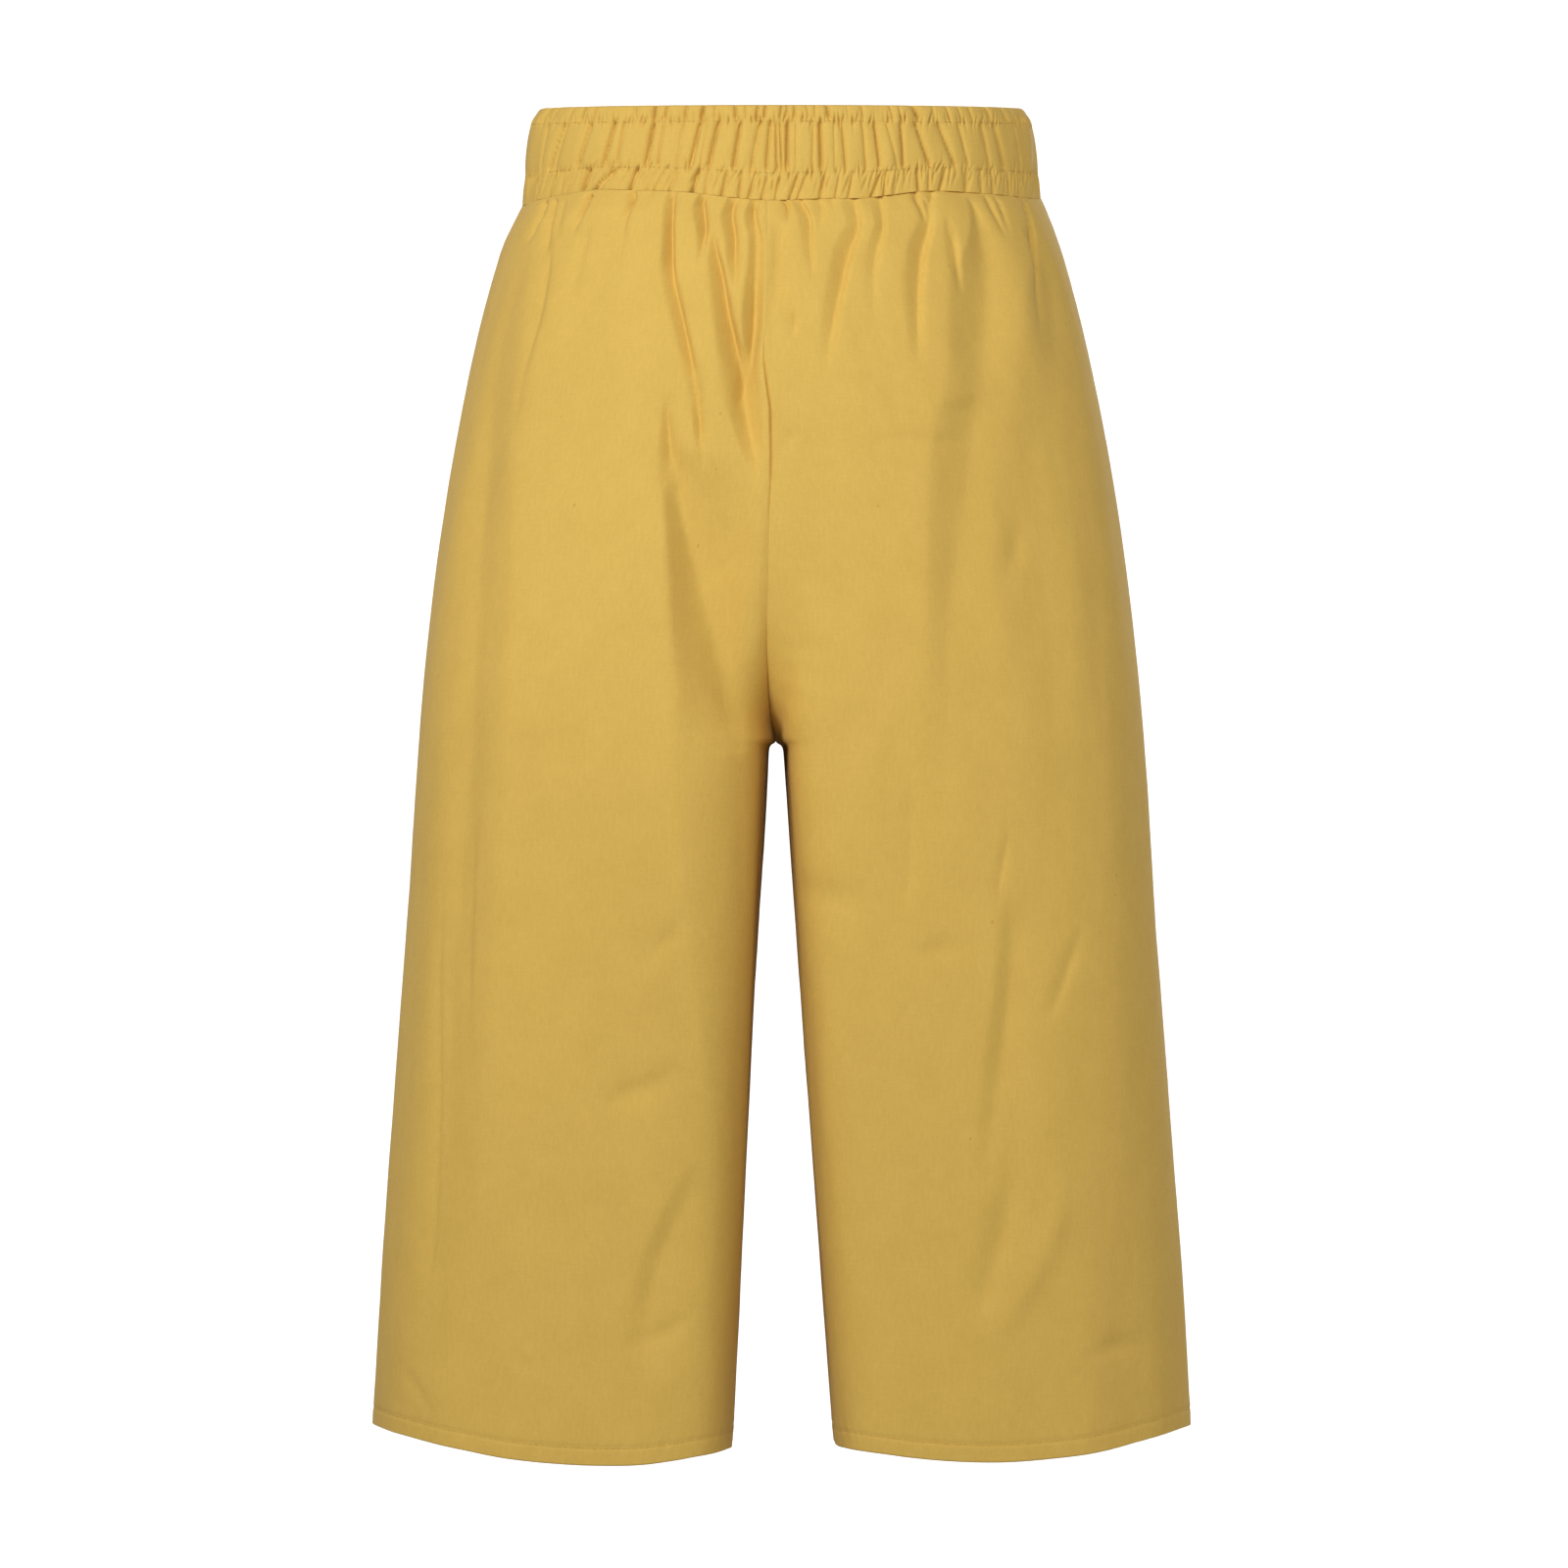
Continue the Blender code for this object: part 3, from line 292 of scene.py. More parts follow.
# Behind, a station's place is x and z in millimetres, and every fold is this much deeper than noted.
BACK_DEEPER = 1.8
BACK_STATION_COLUMNS = ("x", "z", "left", "right", "depth")
BACK_FOLDS = (
    (1.3, ((-131, -22, 1.1, 1.1, 2), (-133, -30, 1.2, 1.2, 1.8), (-140, -52, 2, 2, 0))),
    (1.3, ((-117, -20, 1.2, 1.2, 2.4), (-118, -32, 1.3, 1.3, 2.2), (-122, -56, 2, 2, 1.2),
           (-129, -92, 3, 3, 0))),
    (1.3, ((-103, -18, 0.9, 0.9, 1.8), (-104, -28, 1, 1, 1.4), (-108, -48, 2, 2, 0))),
    (1.3, ((-90, -16, 1.3, 1.3, 2.8), (-91, -34, 1.4, 1.6, 2.6), (-94, -66, 2.4, 2.6, 1.7),
           (-99, -130, 4, 4, 0))),
    (1.3, ((-74, -14, 1, 1, 2.2), (-73, -26, 1.1, 1.1, 1.8), (-71, -58, 2, 2, 0))),
    (1.3, ((-60, -14, 1.2, 1.2, 2.6), (-59, -30, 1.4, 1.4, 2.2), (-54, -62, 2.4, 2, 1.4),
           (-47, -104, 3, 3, 0))),
    (1.3, ((-46, -13, 0.9, 0.9, 2), (-46, -24, 1, 1, 1.5), (-48, -44, 2, 2, 0))),
    (1.4, ((-31, -13, 1.3, 1.5, 2.8), (-30, -34, 1.6, 1.8, 2.6), (-26, -74, 2.8, 2.6, 2),
           (-19, -120, 3.4, 3, 1.4), (-13, -158, 3, 3, 0))),
    (1.3, ((-18, -13, 0.9, 0.9, 1.8), (-17, -26, 1, 1, 1.4), (-15, -50, 2, 2, 0))),
    (1.3, ((3, -13, 1, 1, 2.2), (4, -28, 1.2, 1.2, 1.8), (8, -58, 2, 2, 0))),
    (1.4, ((16, -13, 1.2, 1.4, 2.6), (17, -36, 1.5, 1.7, 2.4), (14, -78, 2.6, 2.8, 2),
           (6, -122, 3, 3.2, 1.2), (0, -150, 3, 3, 0))),
    (1.3, ((31, -13, 0.9, 0.9, 2), (31, -24, 1, 1, 1.6), (33, -48, 2, 2, 0))),
    (1.3, ((47, -14, 1.3, 1.3, 2.8), (46, -34, 1.4, 1.6, 2.6), (42, -72, 2.4, 2.4, 1.8),
           (33, -128, 4, 4, 0))),
    (1.3, ((62, -14, 1, 1, 2.2), (63, -28, 1.1, 1.1, 1.8), (66, -60, 2, 2, 0))),
    (1.3, ((77, -15, 0.9, 0.9, 1.6), (78, -25, 1, 1, 1.2), (81, -42, 2, 2, 0))),
    (1.3, ((93, -16, 1.2, 1.2, 2.6), (94, -34, 1.4, 1.4, 2.3), (98, -70, 2.4, 2.4, 1.5),
           (104, -126, 4, 4, 0))),
    (1.3, ((110, -18, 0.9, 0.9, 2), (111, -30, 1, 1, 1.6), (116, -54, 2, 2, 0))),
    (1.3, ((131, -22, 1.1, 1.1, 2.2), (133, -32, 1.2, 1.2, 1.9), (140, -60, 2, 2, 0))),
    (1.5, ((52, -150, 3, 3, 0), (50, -180, 4, 5, 2.6), (42, -225, 7, 8, 4.4), (28, -268, 9, 10, 4.6),
           (12, -300, 9, 9, 1.5))),
    (1.5, ((-68, -160, 3, 3, 0), (-65, -195, 5, 4, 2.4), (-54, -235, 8, 7, 4.2), (-36, -272, 10, 9, 4.4),
           (-20, -300, 9, 9, 1.5))),
    (1.7, ((-104, -100, 7, 7, 0), (-112, -190, 12, 8, 2.4), (-119, -300, 14, 9, 2.6),
           (-124, -420, 14, 9, 1.6), (-128, -500, 12, 9, 0))),
    (1.7, ((104, -110, 7, 7, 0), (114, -220, 9, 12, 2.6), (120, -330, 9, 14, 2.8), (126, -450, 9, 14, 1.4),
           (130, -540, 9, 12, 0))),
    (1.6, ((66, -330, 8, 8, 0), (74, -420, 14, 8, 2), (80, -540, 14, 8, 2.4), (82, -650, 12, 8, 1.2),
           (82, -700, 10, 8, 0.6))),
    (1.6, ((-92, -380, 8, 8, 0), (-84, -480, 8, 14, 2.2), (-79, -590, 8, 14, 2.4),
           (-76, -700, 8, 12, 0.8))),
    (1.7, ((146, -320, 7, 7, 0), (154, -430, 8, 12, 1.8), (160, -560, 8, 12, 1.8), (164, -680, 8, 10, 0))),
    (1.7, ((-146, -290, 7, 7, 0), (-158, -410, 12, 8, 1.8), (-164, -540, 12, 8, 1.8),
           (-168, -670, 10, 8, 0))),
    (1.6, ((36, -420, 10, 6, 0), (52, -500, 12, 6, -1.6), (60, -600, 12, 6, -1.6), (64, -680, 10, 6, 0))),
    (1.6, ((-48, -440, 6, 10, 0), (-58, -520, 6, 12, -1.6), (-64, -610, 6, 12, -1.4),
           (-66, -680, 6, 10, 0))),
    (1.6, ((120, -560, 3, 3, 0), (104, -590, 4, 3, 0.9), (88, -606, 4, 3, 0))),
    (1.6, ((-130, -600, 3, 3, 0), (-112, -625, 3, 4, 0.9), (-98, -636, 3, 4, 0))),
    (1.4, ((-120, -420, 1.5, 2, 0), (-116, -450, 1.5, 2.5, 1), (-108, -484, 2, 2.5, 0))),
    (1.5, ((176, -420, 2, 2, 0), (182, -500, 2, 2, 0.8), (187, -600, 2, 2, 0))),
)
FOLD_SAMPLES = 36
OTHER_LEG = 0.030              # a fold that lies all further than this on one leg is left off the other
WALL_EDGE = 0.12               # how round the crisp edge of a falling plane is, as a share of it
WALL_FOOT = (0.35, 0.045)      # and how round its foot, at most and by its width in metres
WALL_RETURN = 1.5              # the power with which the cloth comes back beside it
FOLD_REACH = 3.0               # widths from its line at which a fold has died out
EDGE_FADE = (0.0026, 0.5)      # a fold fades towards a seam over this, and this share of its width

# Soft unevenness all over, as sums of waves: how many, their widths and heights in metres and how
# far each sum reaches in or out.
WAVE_COLUMNS = ("count", "width", "height", "reach")
WAVES = (
    (16, (0.035, 0.090), (0.200, 0.700), 0.00030),
    (22, (0.010, 0.026), (0.040, 0.160), 0.00004),
    (30, (0.0035, 0.009), (0.010, 0.050), 0.000012),
)

SEAM_SINK = 0.0008             # how far the cloth turns in at the side and inner leg seams
SEAM_SINK_WIDTH = 0.0007
SEAM_SINK_POWER = 1.5
SEAM_HOLD = 0.004              # a seam's edges stay in its plane, and the cloth beside it over this
SEAM_CHANGE = 0.004            # over which the centre seam changes to the inner leg seams
SEAM_PUCKER = 0.00014          # ripples along a seam
SEAM_PUCKER_WIDTH = 0.0060
SEAM_PUCKER_PITCH = 0.0130
HEM_GROOVE = 0.00035           # the line of stitching sinks in
HEM_GROOVE_WIDTH = 0.0011
HEM_PUCKER = 0.00022
HEM_PUCKER_PITCH = 0.0075
HEM_PUCKER_LEAN = 0.4
HEM_PUCKER_REACH = 0.5         # up and down from the line, in heights of the hem
HEM_STEP = (0.0003, 0.0005)    # below and above the line, where the wall gets thinner
HEM_FOLD_FLAT = 0.0001         # half of the flat of the hem's folded edge
WAVES_FADE = 0.006             # the soft unevenness dies out this near a seam
# A ripple's phase sways by so many radians at this share of its speed, and a second ripple, so much
# weaker, runs at this share of it.
RIPPLE_SWAY = (1.3, 0.31)
RIPPLE_SECOND = (0.6, 0.57)

# ---------------------------------------------------------------- waistband
BAND_TOP = {"half_width": 0.1362, "front": 0.0955, "back": 0.0995}
BAND_FOOT = {"half_width": 0.1420, "front": 0.1030, "back": 0.1070}
BAND_CORNER_LEAN = 0.0034      # the top edge leans in at the sides
STITCH_ROWS = (0.0086, 0.0348)     # below the top edge
# From the top edge down: the distance from the top, and how far the outside stands out from the
# plain cone. Two rows of stitching pinch the casing.
BAND = (
    (0.0000, -0.0004),
    (0.0045, 0.0001),
    (STITCH_ROWS[0], -0.0002),
    (0.0140, 0.0003),
    (0.0217, 0.0005),              # middle of the elastic
    (0.0290, 0.0003),
    (STITCH_ROWS[1], -0.0002),
    (0.0400, 0.0000),
    (0.0450, -0.0002),
    (BAND_HEIGHT, -0.0004),
)
# Rings of the casing: of its rounded top edge, then in steps to these distances from the top, and
# the last ones. Its inside has one ring for every few outside.
BAND_EDGE_RINGS = 4
BAND_RINGS = ((0.0060, 3), (0.0120, 7), (0.0310, 6), (0.0390, 8), (BAND_HEIGHT - 0.0008, 6))
BAND_LAST_RINGS = (BAND_HEIGHT - 0.0008, BAND_HEIGHT - 0.0003, BAND_HEIGHT)
BAND_INSIDE_STEP = 10
BAND_INSIDE_GATHER = 0.4           # how deep the gathers are inside, as a share
BAND_FULLNESS = 1.5                # how much cloth is gathered into a length of the casing
BAND_RING_COLUMNS = 2400
BAND_FRONT_CROWDING = 1.0          # how much closer together the columns are in front
BAND_SAMPLES = 6001                # points of the way round, between which the columns are placed
BAND_OUTLINE_SAMPLES = 4001
BAND_FRONT_EDGE = 0.1              # how fast the front's columns change to the back's at the sides
BAND_LEAN_ENDS = 0.009             # how far down from the top edge the lean has died out
BAND_LEAN_POWER = 6                # and how much it is left to the sides
BAND_WANDER_STARTS = 0.35          # the share of the way down from which the casing follows the seam
BAND_FOLD_SIDES = (1.45, 1.0)      # how wide a fold is on its two sides, in half widths
BAND_CREASE = (0.8, 1.2)           # a fold is a sharp crease, of this share of its depth and power,
BAND_TROUGH = (0.2, 4.0)           # in a soft trough of this share and this many half widths
BAND_FOLD_ENDS = 12.0              # half widths at which it has died out
BAND_ZONE_REACH = 0.5              # how far it reaches beyond its zone, in fades

# Folds of the gathered casing in its three zones: above, between and below the rows of stitching.
# Each shows in the picture at this many px from the left, at its top and at its foot. Its half width
# is in millimetres, and so is its depth, which is made deeper by a factor. The factor is larger on the
# wearer's right, where the light comes from: up to a top at so many px, this many times.
BAND_ZONE_COLUMNS = ("name", "from", "to", "fade")
BAND_ZONES = (
    ("ruffle", -0.0030, 0.0086, 0.0022),
    ("channel", 0.0086, 0.0348, 0.0030),
    ("lower", 0.0348, 0.0520, 0.0042),
)
BAND_PX = 0.518                # millimetres to a px on the waistband
BAND_DEEPER = ((560, 5.0), (580, 3.2), (640, 4.0), (720, 2.8), (1600, 2.3))
BAND_FOLD_COLUMNS = ("px_top", "px_foot", "half_width", "depth")
BAND_FOLDS = {
    "ruffle": (
        (545, 541, 0.6, 0.7), (556, 552, 0.6, 0.9), (575, 571, 0.6, 1.1), (587, 585, 0.6, 1),
        (600, 598, 0.5, 0.6), (641, 645, 0.6, 0.7), (664, 663, 0.6, 1.5), (677, 675, 0.6, 1.1),
        (698, 696, 0.6, 0.9), (716, 713, 0.7, 1.8), (727, 728, 0.5, 0.7), (748, 750, 0.7, 1.5),
        (759, 761, 0.5, 0.6), (774, 771, 0.6, 1.3), (782, 779, 0.6, 1.5), (799, 796, 0.6, 1.1),
        (804, 803, 0.5, 0.9), (811, 812, 0.5, 0.9), (823, 827, 0.5, 0.6), (833, 833, 0.5, 0.6),
        (845, 848, 0.7, 1.5), (866, 868, 0.5, 0.3), (882, 884, 0.6, 0.9), (911, 915, 0.6, 0.9),
        (921, 923, 0.5, 0.5), (936, 943, 0.8, 2), (957, 960, 0.5, 0.5), (972, 975, 0.5, 0.7),
        (985, 987, 0.5, 0.5), (997, 999, 0.5, 0.6), (1016, 1020, 0.6, 1), (1035, 1038, 0.6, 0.6),
        (1046, 1048, 0.6, 0.7),
    ),
    "channel": (
        (549, 547, 0.6, 1.3), (567, 556, 0.6, 1.4), (571, 563, 0.6, 1.3), (597, 587, 0.7, 1.3),
        (622, 614, 0.6, 1.4), (632, 629, 0.5, 0.6), (664, 658, 0.6, 1.9), (675, 671, 0.5, 0.7),
        (696, 690, 0.5, 0.5), (713, 704, 0.7, 1.9), (721, 715, 0.5, 0.6), (732, 723, 0.7, 2),
        (755, 748, 0.7, 1.9), (776, 766, 1.1, 1.4), (786, 782, 0.8, 1.5), (792, 793, 0.6, 1.1),
        (796, 798, 0.5, 1), (804, 803, 0.7, 2), (813, 812, 0.5, 0.5), (831, 829, 0.8, 0.7),
        (838, 838, 0.7, 2), (852, 852, 0.5, 0.4), (861, 863, 0.6, 1.1), (883, 884, 0.9, 0.8),
        (895, 898, 0.6, 1.5), (907, 916, 0.5, 0.7), (922, 922, 0.6, 1.4), (938, 950, 0.7, 1.9),
        (962, 976, 0.7, 1.6), (983, 990, 0.6, 0.9), (1008, 1012, 0.6, 1), (1022, 1028, 0.7, 1.5),
        (1044, 1046, 0.6, 0.7),
    ),
    "lower": (
        (550, 543, 0.6, 1.1), (565, 558, 0.6, 1.3), (575, 571, 0.5, 0.6), (601, 593, 0.7, 1.7),
        (632, 603, 0.7, 1.04), (626, 612, 0.5, 0.56), (651, 642, 0.7, 1.9), (672, 659, 0.5, 0.6),
        (681, 667, 0.5, 0.7), (691, 683, 0.5, 0.7), (714, 706, 0.7, 1.9), (724, 720, 0.5, 0.7),
        (743, 736, 0.7, 1.4), (757, 754, 0.6, 1.1), (771, 763, 0.6, 1), (784, 776, 0.6, 1),
        (797, 790, 0.5, 0.7), (815, 803, 0.6, 1.4), (824, 811, 0.6, 1), (842, 835, 0.6, 1.1),
        (857, 850, 0.5, 0.7), (870, 863, 0.6, 0.9), (900, 885, 0.7, 1.8), (904, 899, 0.6, 1.5),
        (919, 908, 0.5, 0.6), (936, 936, 0.6, 1.6), (948, 945, 0.5, 0.8), (966, 955, 0.6, 1.3),
        (988, 983, 0.6, 1.1), (1002, 1000, 0.5, 0.8), (1014, 1012, 0.6, 1), (1031, 1030, 0.5, 0.7),
        (1043, 1041, 0.5, 0.8), (1056, 1055, 0.6, 0.9),
    ),
}
# Round the back, folds are spread unevenly by a rule.
BAND_BACK_FOLDS = {"ruffle": 37, "channel": 41, "lower": 47}
BAND_BACK_HALF_WIDTH = (0.0005, 0.0008)
BAND_BACK_DEPTH = (0.0008, 0.0032)
BAND_BACK_LEAN = 0.0036
BAND_BACK_UNEVEN = 0.42        # how far a fold is off its even place, as a share of the spacing
# Short puckers at the rows of stitching: how far the row is below the top edge, how many there are
# round it, how far they reach up or down from it, how they lean towards +x in front on the way down
# and how deep they are.
BAND_PUCKER_COLUMNS = ("below_top", "count", "height", "lean", "depth")
BAND_PUCKERS = (
    (0.0080, 220, 0.0028, (-0.50, 0.30), (0.0005, 0.0024)),
    (0.0352, 220, 0.0030, (-0.75, 0.10), (0.0005, 0.0024)),
    (0.0410, 170, 0.0044, (-0.75, -0.10), (0.0003, 0.0019)),
)
BAND_PUCKER_HALF_WIDTH = 0.00045
BAND_PUCKER_SCATTER = 0.0011   # up and down
BAND_PUCKER_UNEVEN = 0.8       # how uneven their spacing is, as a share of it
BAND_PUCKER_HEIGHTS = (0.6, 1.2)    # from the lowest to the highest, as shares
BAND_PUCKER_POWER = 1.3
BAND_PUCKER_ENDS = 6.0         # half widths at which one has died out
BAND_PUCKER_LEAST = 0.02       # and the share of its depth at which it is left off a ring
# Soft unevenness round the casing: a few waves, from this many round it in steps of this many.
BAND_WAVES = 6
BAND_WAVES_ROUND = (9, 7)
BAND_WAVE_DEPTH = 0.00016
BAND_WAVE_SHIFT = (1.3, 60.0)  # radians from wave to wave, and per metre down
GOLDEN = (math.sqrt(5) - 1) / 2

THREAD_WIDTH = 0.25            # of a panel, along which its threads are spaced

# ---------------------------------------------------------------- stitching
STITCH_LENGTH = 0.0024
STITCH_PITCH = 0.0031
STITCH_RADIUS = 0.00019
STITCH_STANDS_OUT = 0.00004        # of a stitch's middle line, from the cloth
STITCH_SIDES = 6
# Along a stitch, as a share of its length from its middle, and how thick it is there.
STITCH_STATIONS = ((-0.5, 0.25), (-0.36, 0.9), (0.0, 1.1), (0.36, 0.9), (0.5, 0.25))
STITCH_CAPS = ((0, 3, 2, 1), (0, 5, 4, 3))     # two quads close a hexagon

# ---------------------------------------------------------------- materials
CLOTH_LIGHT = (0.80, 0.537, 0.127)
CLOTH_DARK = (0.60, 0.375, 0.071)
CLOTH_FINISH = {
    "Roughness": 0.82, "Sheen Weight": 0.04, "Sheen Roughness": 0.5, "Specular IOR Level": 0.25,
}
THREAD_PITCH = 0.00048         # between two threads of the weave
THREAD_WAVER = {"Distortion": 1.2, "Detail": 1.0, "Detail Scale": 0.4}
WAVE_TEXTURE_PHASE = 20        # what Blender's Wave texture multiplies a place by
# Layers of noise in the cloth's tone: scale across and along the threads, and detail.
CLOTH_LAYERS = (
    ("slubs", (620.0, 150.0, 1.0), 3.0),
    ("mottle", (60.0, 40.0, 1.0), 4.0),
    ("cross_slubs", (110.0, 640.0, 1.0), 2.0),
    ("grain", (760.0, 760.0, 1.0), 3.0),
)
NEPS_SCALE = (62.0, 49.6, 62.0)          # small dark knots
NEPS_RADIUS = 0.050
NEPS_PATCHES = ((90.0, 90.0, 1.0), 1.0)  # scale and detail of the noise that picks a few of them
NEPS_SPARSE = 0.60
TONE_SHARES = {
    "slubs": 0.22, "mottle": 0.16, "cross_slubs": 0.10, "grain": 0.20, "weave": 0.02, "neps": -0.38,
}
TONE_START = 0.13
TONE_ENDS = (0.22, 0.72)       # where the cloth is as dark and as light as it gets
CLOTH_BUMP = {"slubs": 0.9, "strength": 0.35, "distance": 0.00007}
THREAD_LIGHT = (0.72, 0.47, 0.10)
THREAD_DARK = (0.50, 0.30, 0.055)
THREAD_FINISH = {"Roughness": 0.65}
THREAD_BUMP = {"strength": 0.5, "distance": 0.00006}
STRANDS_SCALE = 1900.0
STRANDS_DETAIL = 2.0
STUDIO_FINISH = {
    "Base Color": (0.9, 0.9, 0.9, 1.0),
    "Roughness": 1.0,
    "Emission Color": (1.0, 1.0, 1.0, 1.0),
    "Emission Strength": 1.0,
}

# ---------------------------------------------------------------- camera and studio
FLOOR_SIDES = 96
FLOOR_RADIUS = 12.0
FLOOR_THICKNESS = 0.02
FLOOR_Z = -1.30
STUDIO_SEGMENTS = 64
STUDIO_RINGS = 32
STUDIO_RADIUS = 14.0
CAMERA_DISTANCE = 3.0          # from the garment's middle plane
CAMERA_X = 0.00134
CAMERA_Z = -0.34485
VIEW_WIDTH = 0.8576            # of the picture, at the garment's middle plane
SENSOR_WIDTH = 36.0            # millimetres
CAMERA_SEES = 100.0            # metres, well past the studio
LIGHT_COLUMNS = ("name", "location", "target", "size", "power", "colour")
LIGHTS = (
    ("upper_left", (-1.15, -1.55, 0.5), (0.0, 0.0, -0.34), 0.8, 17.5, (1.0, 1.0, 1.0)),
    ("above_front", (0.0, -1.6, 0.5), (0.0, 0.0, -0.30), 0.6, 10.5, (1.0, 1.0, 1.0)),
    ("low_right", (1.6, -1.1, -0.5), (0.0, 0.0, -0.34), 1.2, 4.0, (1.0, 1.0, 1.0)),
    ("far_right", (2.3, -0.35, -0.4), (0.0, 0.0, -0.40), 1.2, 4.0, (1.0, 1.0, 1.0)),
    ("back_left", (1.2, 2.5, 0.5), (0.0, 0.0, -0.34), 1.4, 26.0, (1.0, 1.0, 1.0)),
    ("back_right", (-1.5, 2.2, 0.2), (0.0, 0.0, -0.34), 1.4, 9.0, (1.0, 1.0, 1.0)),
)
ROOM_COLOUR = (1.0, 0.97, 0.90, 1.0)
ROOM_STRENGTH = 0.27

SEED = 41
rng = np.random.default_rng(SEED)


def smooth_step(value, start, end):
    """0 before start, 1 after end, and an even S in between."""
    share = np.clip((np.asarray(value, float) - start) / (end - start), 0.0, 1.0)
    return share * share * (3.0 - 2.0 * share)


def smooth_curve(at, places, values):
    """A smooth curve through values at rising places."""
    places, values = np.asarray(places, float), np.asarray(values, float)
    slopes = np.gradient(values, places) if len(places) > 2 else np.diff(values) / np.diff(places)
    slopes = np.broadcast_to(slopes, places.shape)
    at = np.clip(at, places[0], places[-1])
    k = np.clip(np.searchsorted(places, at) - 1, 0, len(places) - 2)
    step = places[k + 1] - places[k]
    t = (at - places[k]) / step
    return (
        (2 * t**3 - 3 * t**2 + 1) * values[k]
        + (t**3 - 2 * t**2 + t) * step * slopes[k]
        + (3 * t**2 - 2 * t**3) * values[k + 1]
        + (t**3 - t**2) * step * slopes[k + 1]
    )


def form(column, z):
    """One column of FORM at height z, on a smooth curve through its rows."""
    heights = [row[0] for row in FORM][::-1]
    values = [row[FORM_COLUMNS.index(column)] for row in FORM][::-1]
    return smooth_curve(z, heights, values)


def rise_share(z, face):
    """0 at the crotch point and below it, 1 where the centre seam starts to turn under."""
    return np.clip((z - CROTCH_Z) / CROTCH_RISE[face], 0.0, 1.0)


def legs_part(across, z):
    """How far the gap between the legs moves the cloth, across being 1 at the inner edge."""
    below = max(CROTCH_Z - z, 0.0)
    rounding = LEG_GAP_AT_CROTCH * (1.0 - math.exp(-below / LEG_GAP_RADIUS))
    eased = below - LEG_GAP_EASE * (1.0 - math.exp(-below / LEG_GAP_EASE))
    whole_leg = smooth_step(below, 0.0, LEG_GAP_TAKES_LEG)
    taper = LEG_GAP_SLOPE * eased * (whole_leg * across + (1.0 - whole_leg) * across**LEG_GAP_POWER)
    return rounding * across**LEG_GAP_CORNER + taper


def wander(table_of_places, at):
    """A smooth curve through a table of places and values, both in millimetres."""
    places, values = np.array(table_of_places, float).T * MM
    return smooth_curve(at, places, values)


def section(z, leg, face):
    """The plain outline of a panel at height z, from its inner edge to the side seam, as (x, y)."""
    depth, power = form(face, z), form("power", z)
    middle = form("middle", z) + wander(SEAM_WANDER[face], max(z, CROTCH_Z))
    width = form("half_width", z) - leg * middle - SEAM_GAP / 2
    share = rise_share(z, face)
    reach = (1.0 - (1.0 - share) ** CROTCH_POWER[face]) ** (1.0 / CROTCH_POWER[face])
    inner_power = INNER_POWER + (power - INNER_POWER) * smooth_step(share, 0.0, INNER_POWER_FADES)
    beyond = (1.0 - reach**inner_power) ** (1.0 / inner_power)
    crown = CROWN_SHARE[face, leg] * width * (1.0 - smooth_step(share, 0.0, 1.0))
    step = np.sin(np.linspace(0.0, math.pi / 2, SECTION_POINTS)) ** (2 / power)
    x = crown + (width - crown) * step
    y = (1.0 - step**power) ** (1.0 / power)
    if crown > SEAM_GAP:
        inner = step[:0:-1] ** (power / inner_power)
        hold = CROTCH_HOLD * (1.0 - share) ** CROTCH_HOLD_FADES
        turned = inner * (1.0 - (1.0 - beyond) * inner**hold)
        x = np.concatenate([crown * (1.0 - inner), x])
        y = np.concatenate([(1.0 - turned**inner_power) ** (1.0 / inner_power), y])
    x = SEAM_GAP / 2 + x + legs_part(1.0 - x / width, z)
    return middle + leg * x, depth * y if face == "back" else -depth * y


def hem_rise(share, z, leg):
    """How far the hem is raised at shares of the way along it, dying out up the leg."""
    places, rise = np.array(HEM_RISE[leg], float).T
    fade = 1.0 - smooth_step(z, HEM_Z, HEM_Z + HEM_RISE_FADES)
    return fade * MM * smooth_curve(share, places, rise)


def along(x, y):
    """Distance along a line of points."""
    return np.concatenate([[0.0], np.cumsum(np.hypot(np.diff(x), np.diff(y)))])


def table(rows, columns):
    """The rows of a table, each as a dictionary."""
    return [dict(zip(columns, row)) for row in rows]


# ---------------------------------------------------------------- meshes
def grid_mesh(name, points, uvs, material, outside=None):
    """A closed mesh through loops of points.

    The last loop joins the first, or, with the number of each loop's points that lie outside, the
    two end loops are capped.
    """
    count, width = points.shape[:2]
    rows = np.arange(count if outside is None else count - 1)[:, None] * width
    following = (rows + width) % (count * width)
    here = np.arange(width)[None, :]
    beside = (here + 1) % width
    quads = np.stack([rows + here, rows + beside, following + beside, following + here], axis=-1)
    faces = quads.reshape(-1, 4).tolist()
    if outside is not None:
        for k in range(width - outside - 1):
            over = range(INSIDE_STEP * (k + 1), INSIDE_STEP * k - 1, -1)
            cap = [*over, width - 1 - k, width - 2 - k]
            faces.append(cap)
            faces.append([(count - 1) * width + corner for corner in cap[::-1]])
    mesh = bpy.data.meshes.new(name)
    mesh.from_pydata(points.reshape(-1, 3).tolist(), [], faces)
    layer = mesh.uv_layers.new(name="cloth")
    corners = np.empty(len(mesh.loops), dtype=np.int32)
    mesh.loops.foreach_get("vertex_index", corners)
    layer.uv.foreach_set("vector", uvs.reshape(-1, 2)[corners].astype(np.float32).ravel())
    mesh.materials.append(material)
    mesh.shade_smooth()
    piece = bpy.data.objects.new(name, mesh)
    bpy.context.scene.collection.objects.link(piece)
    return piece


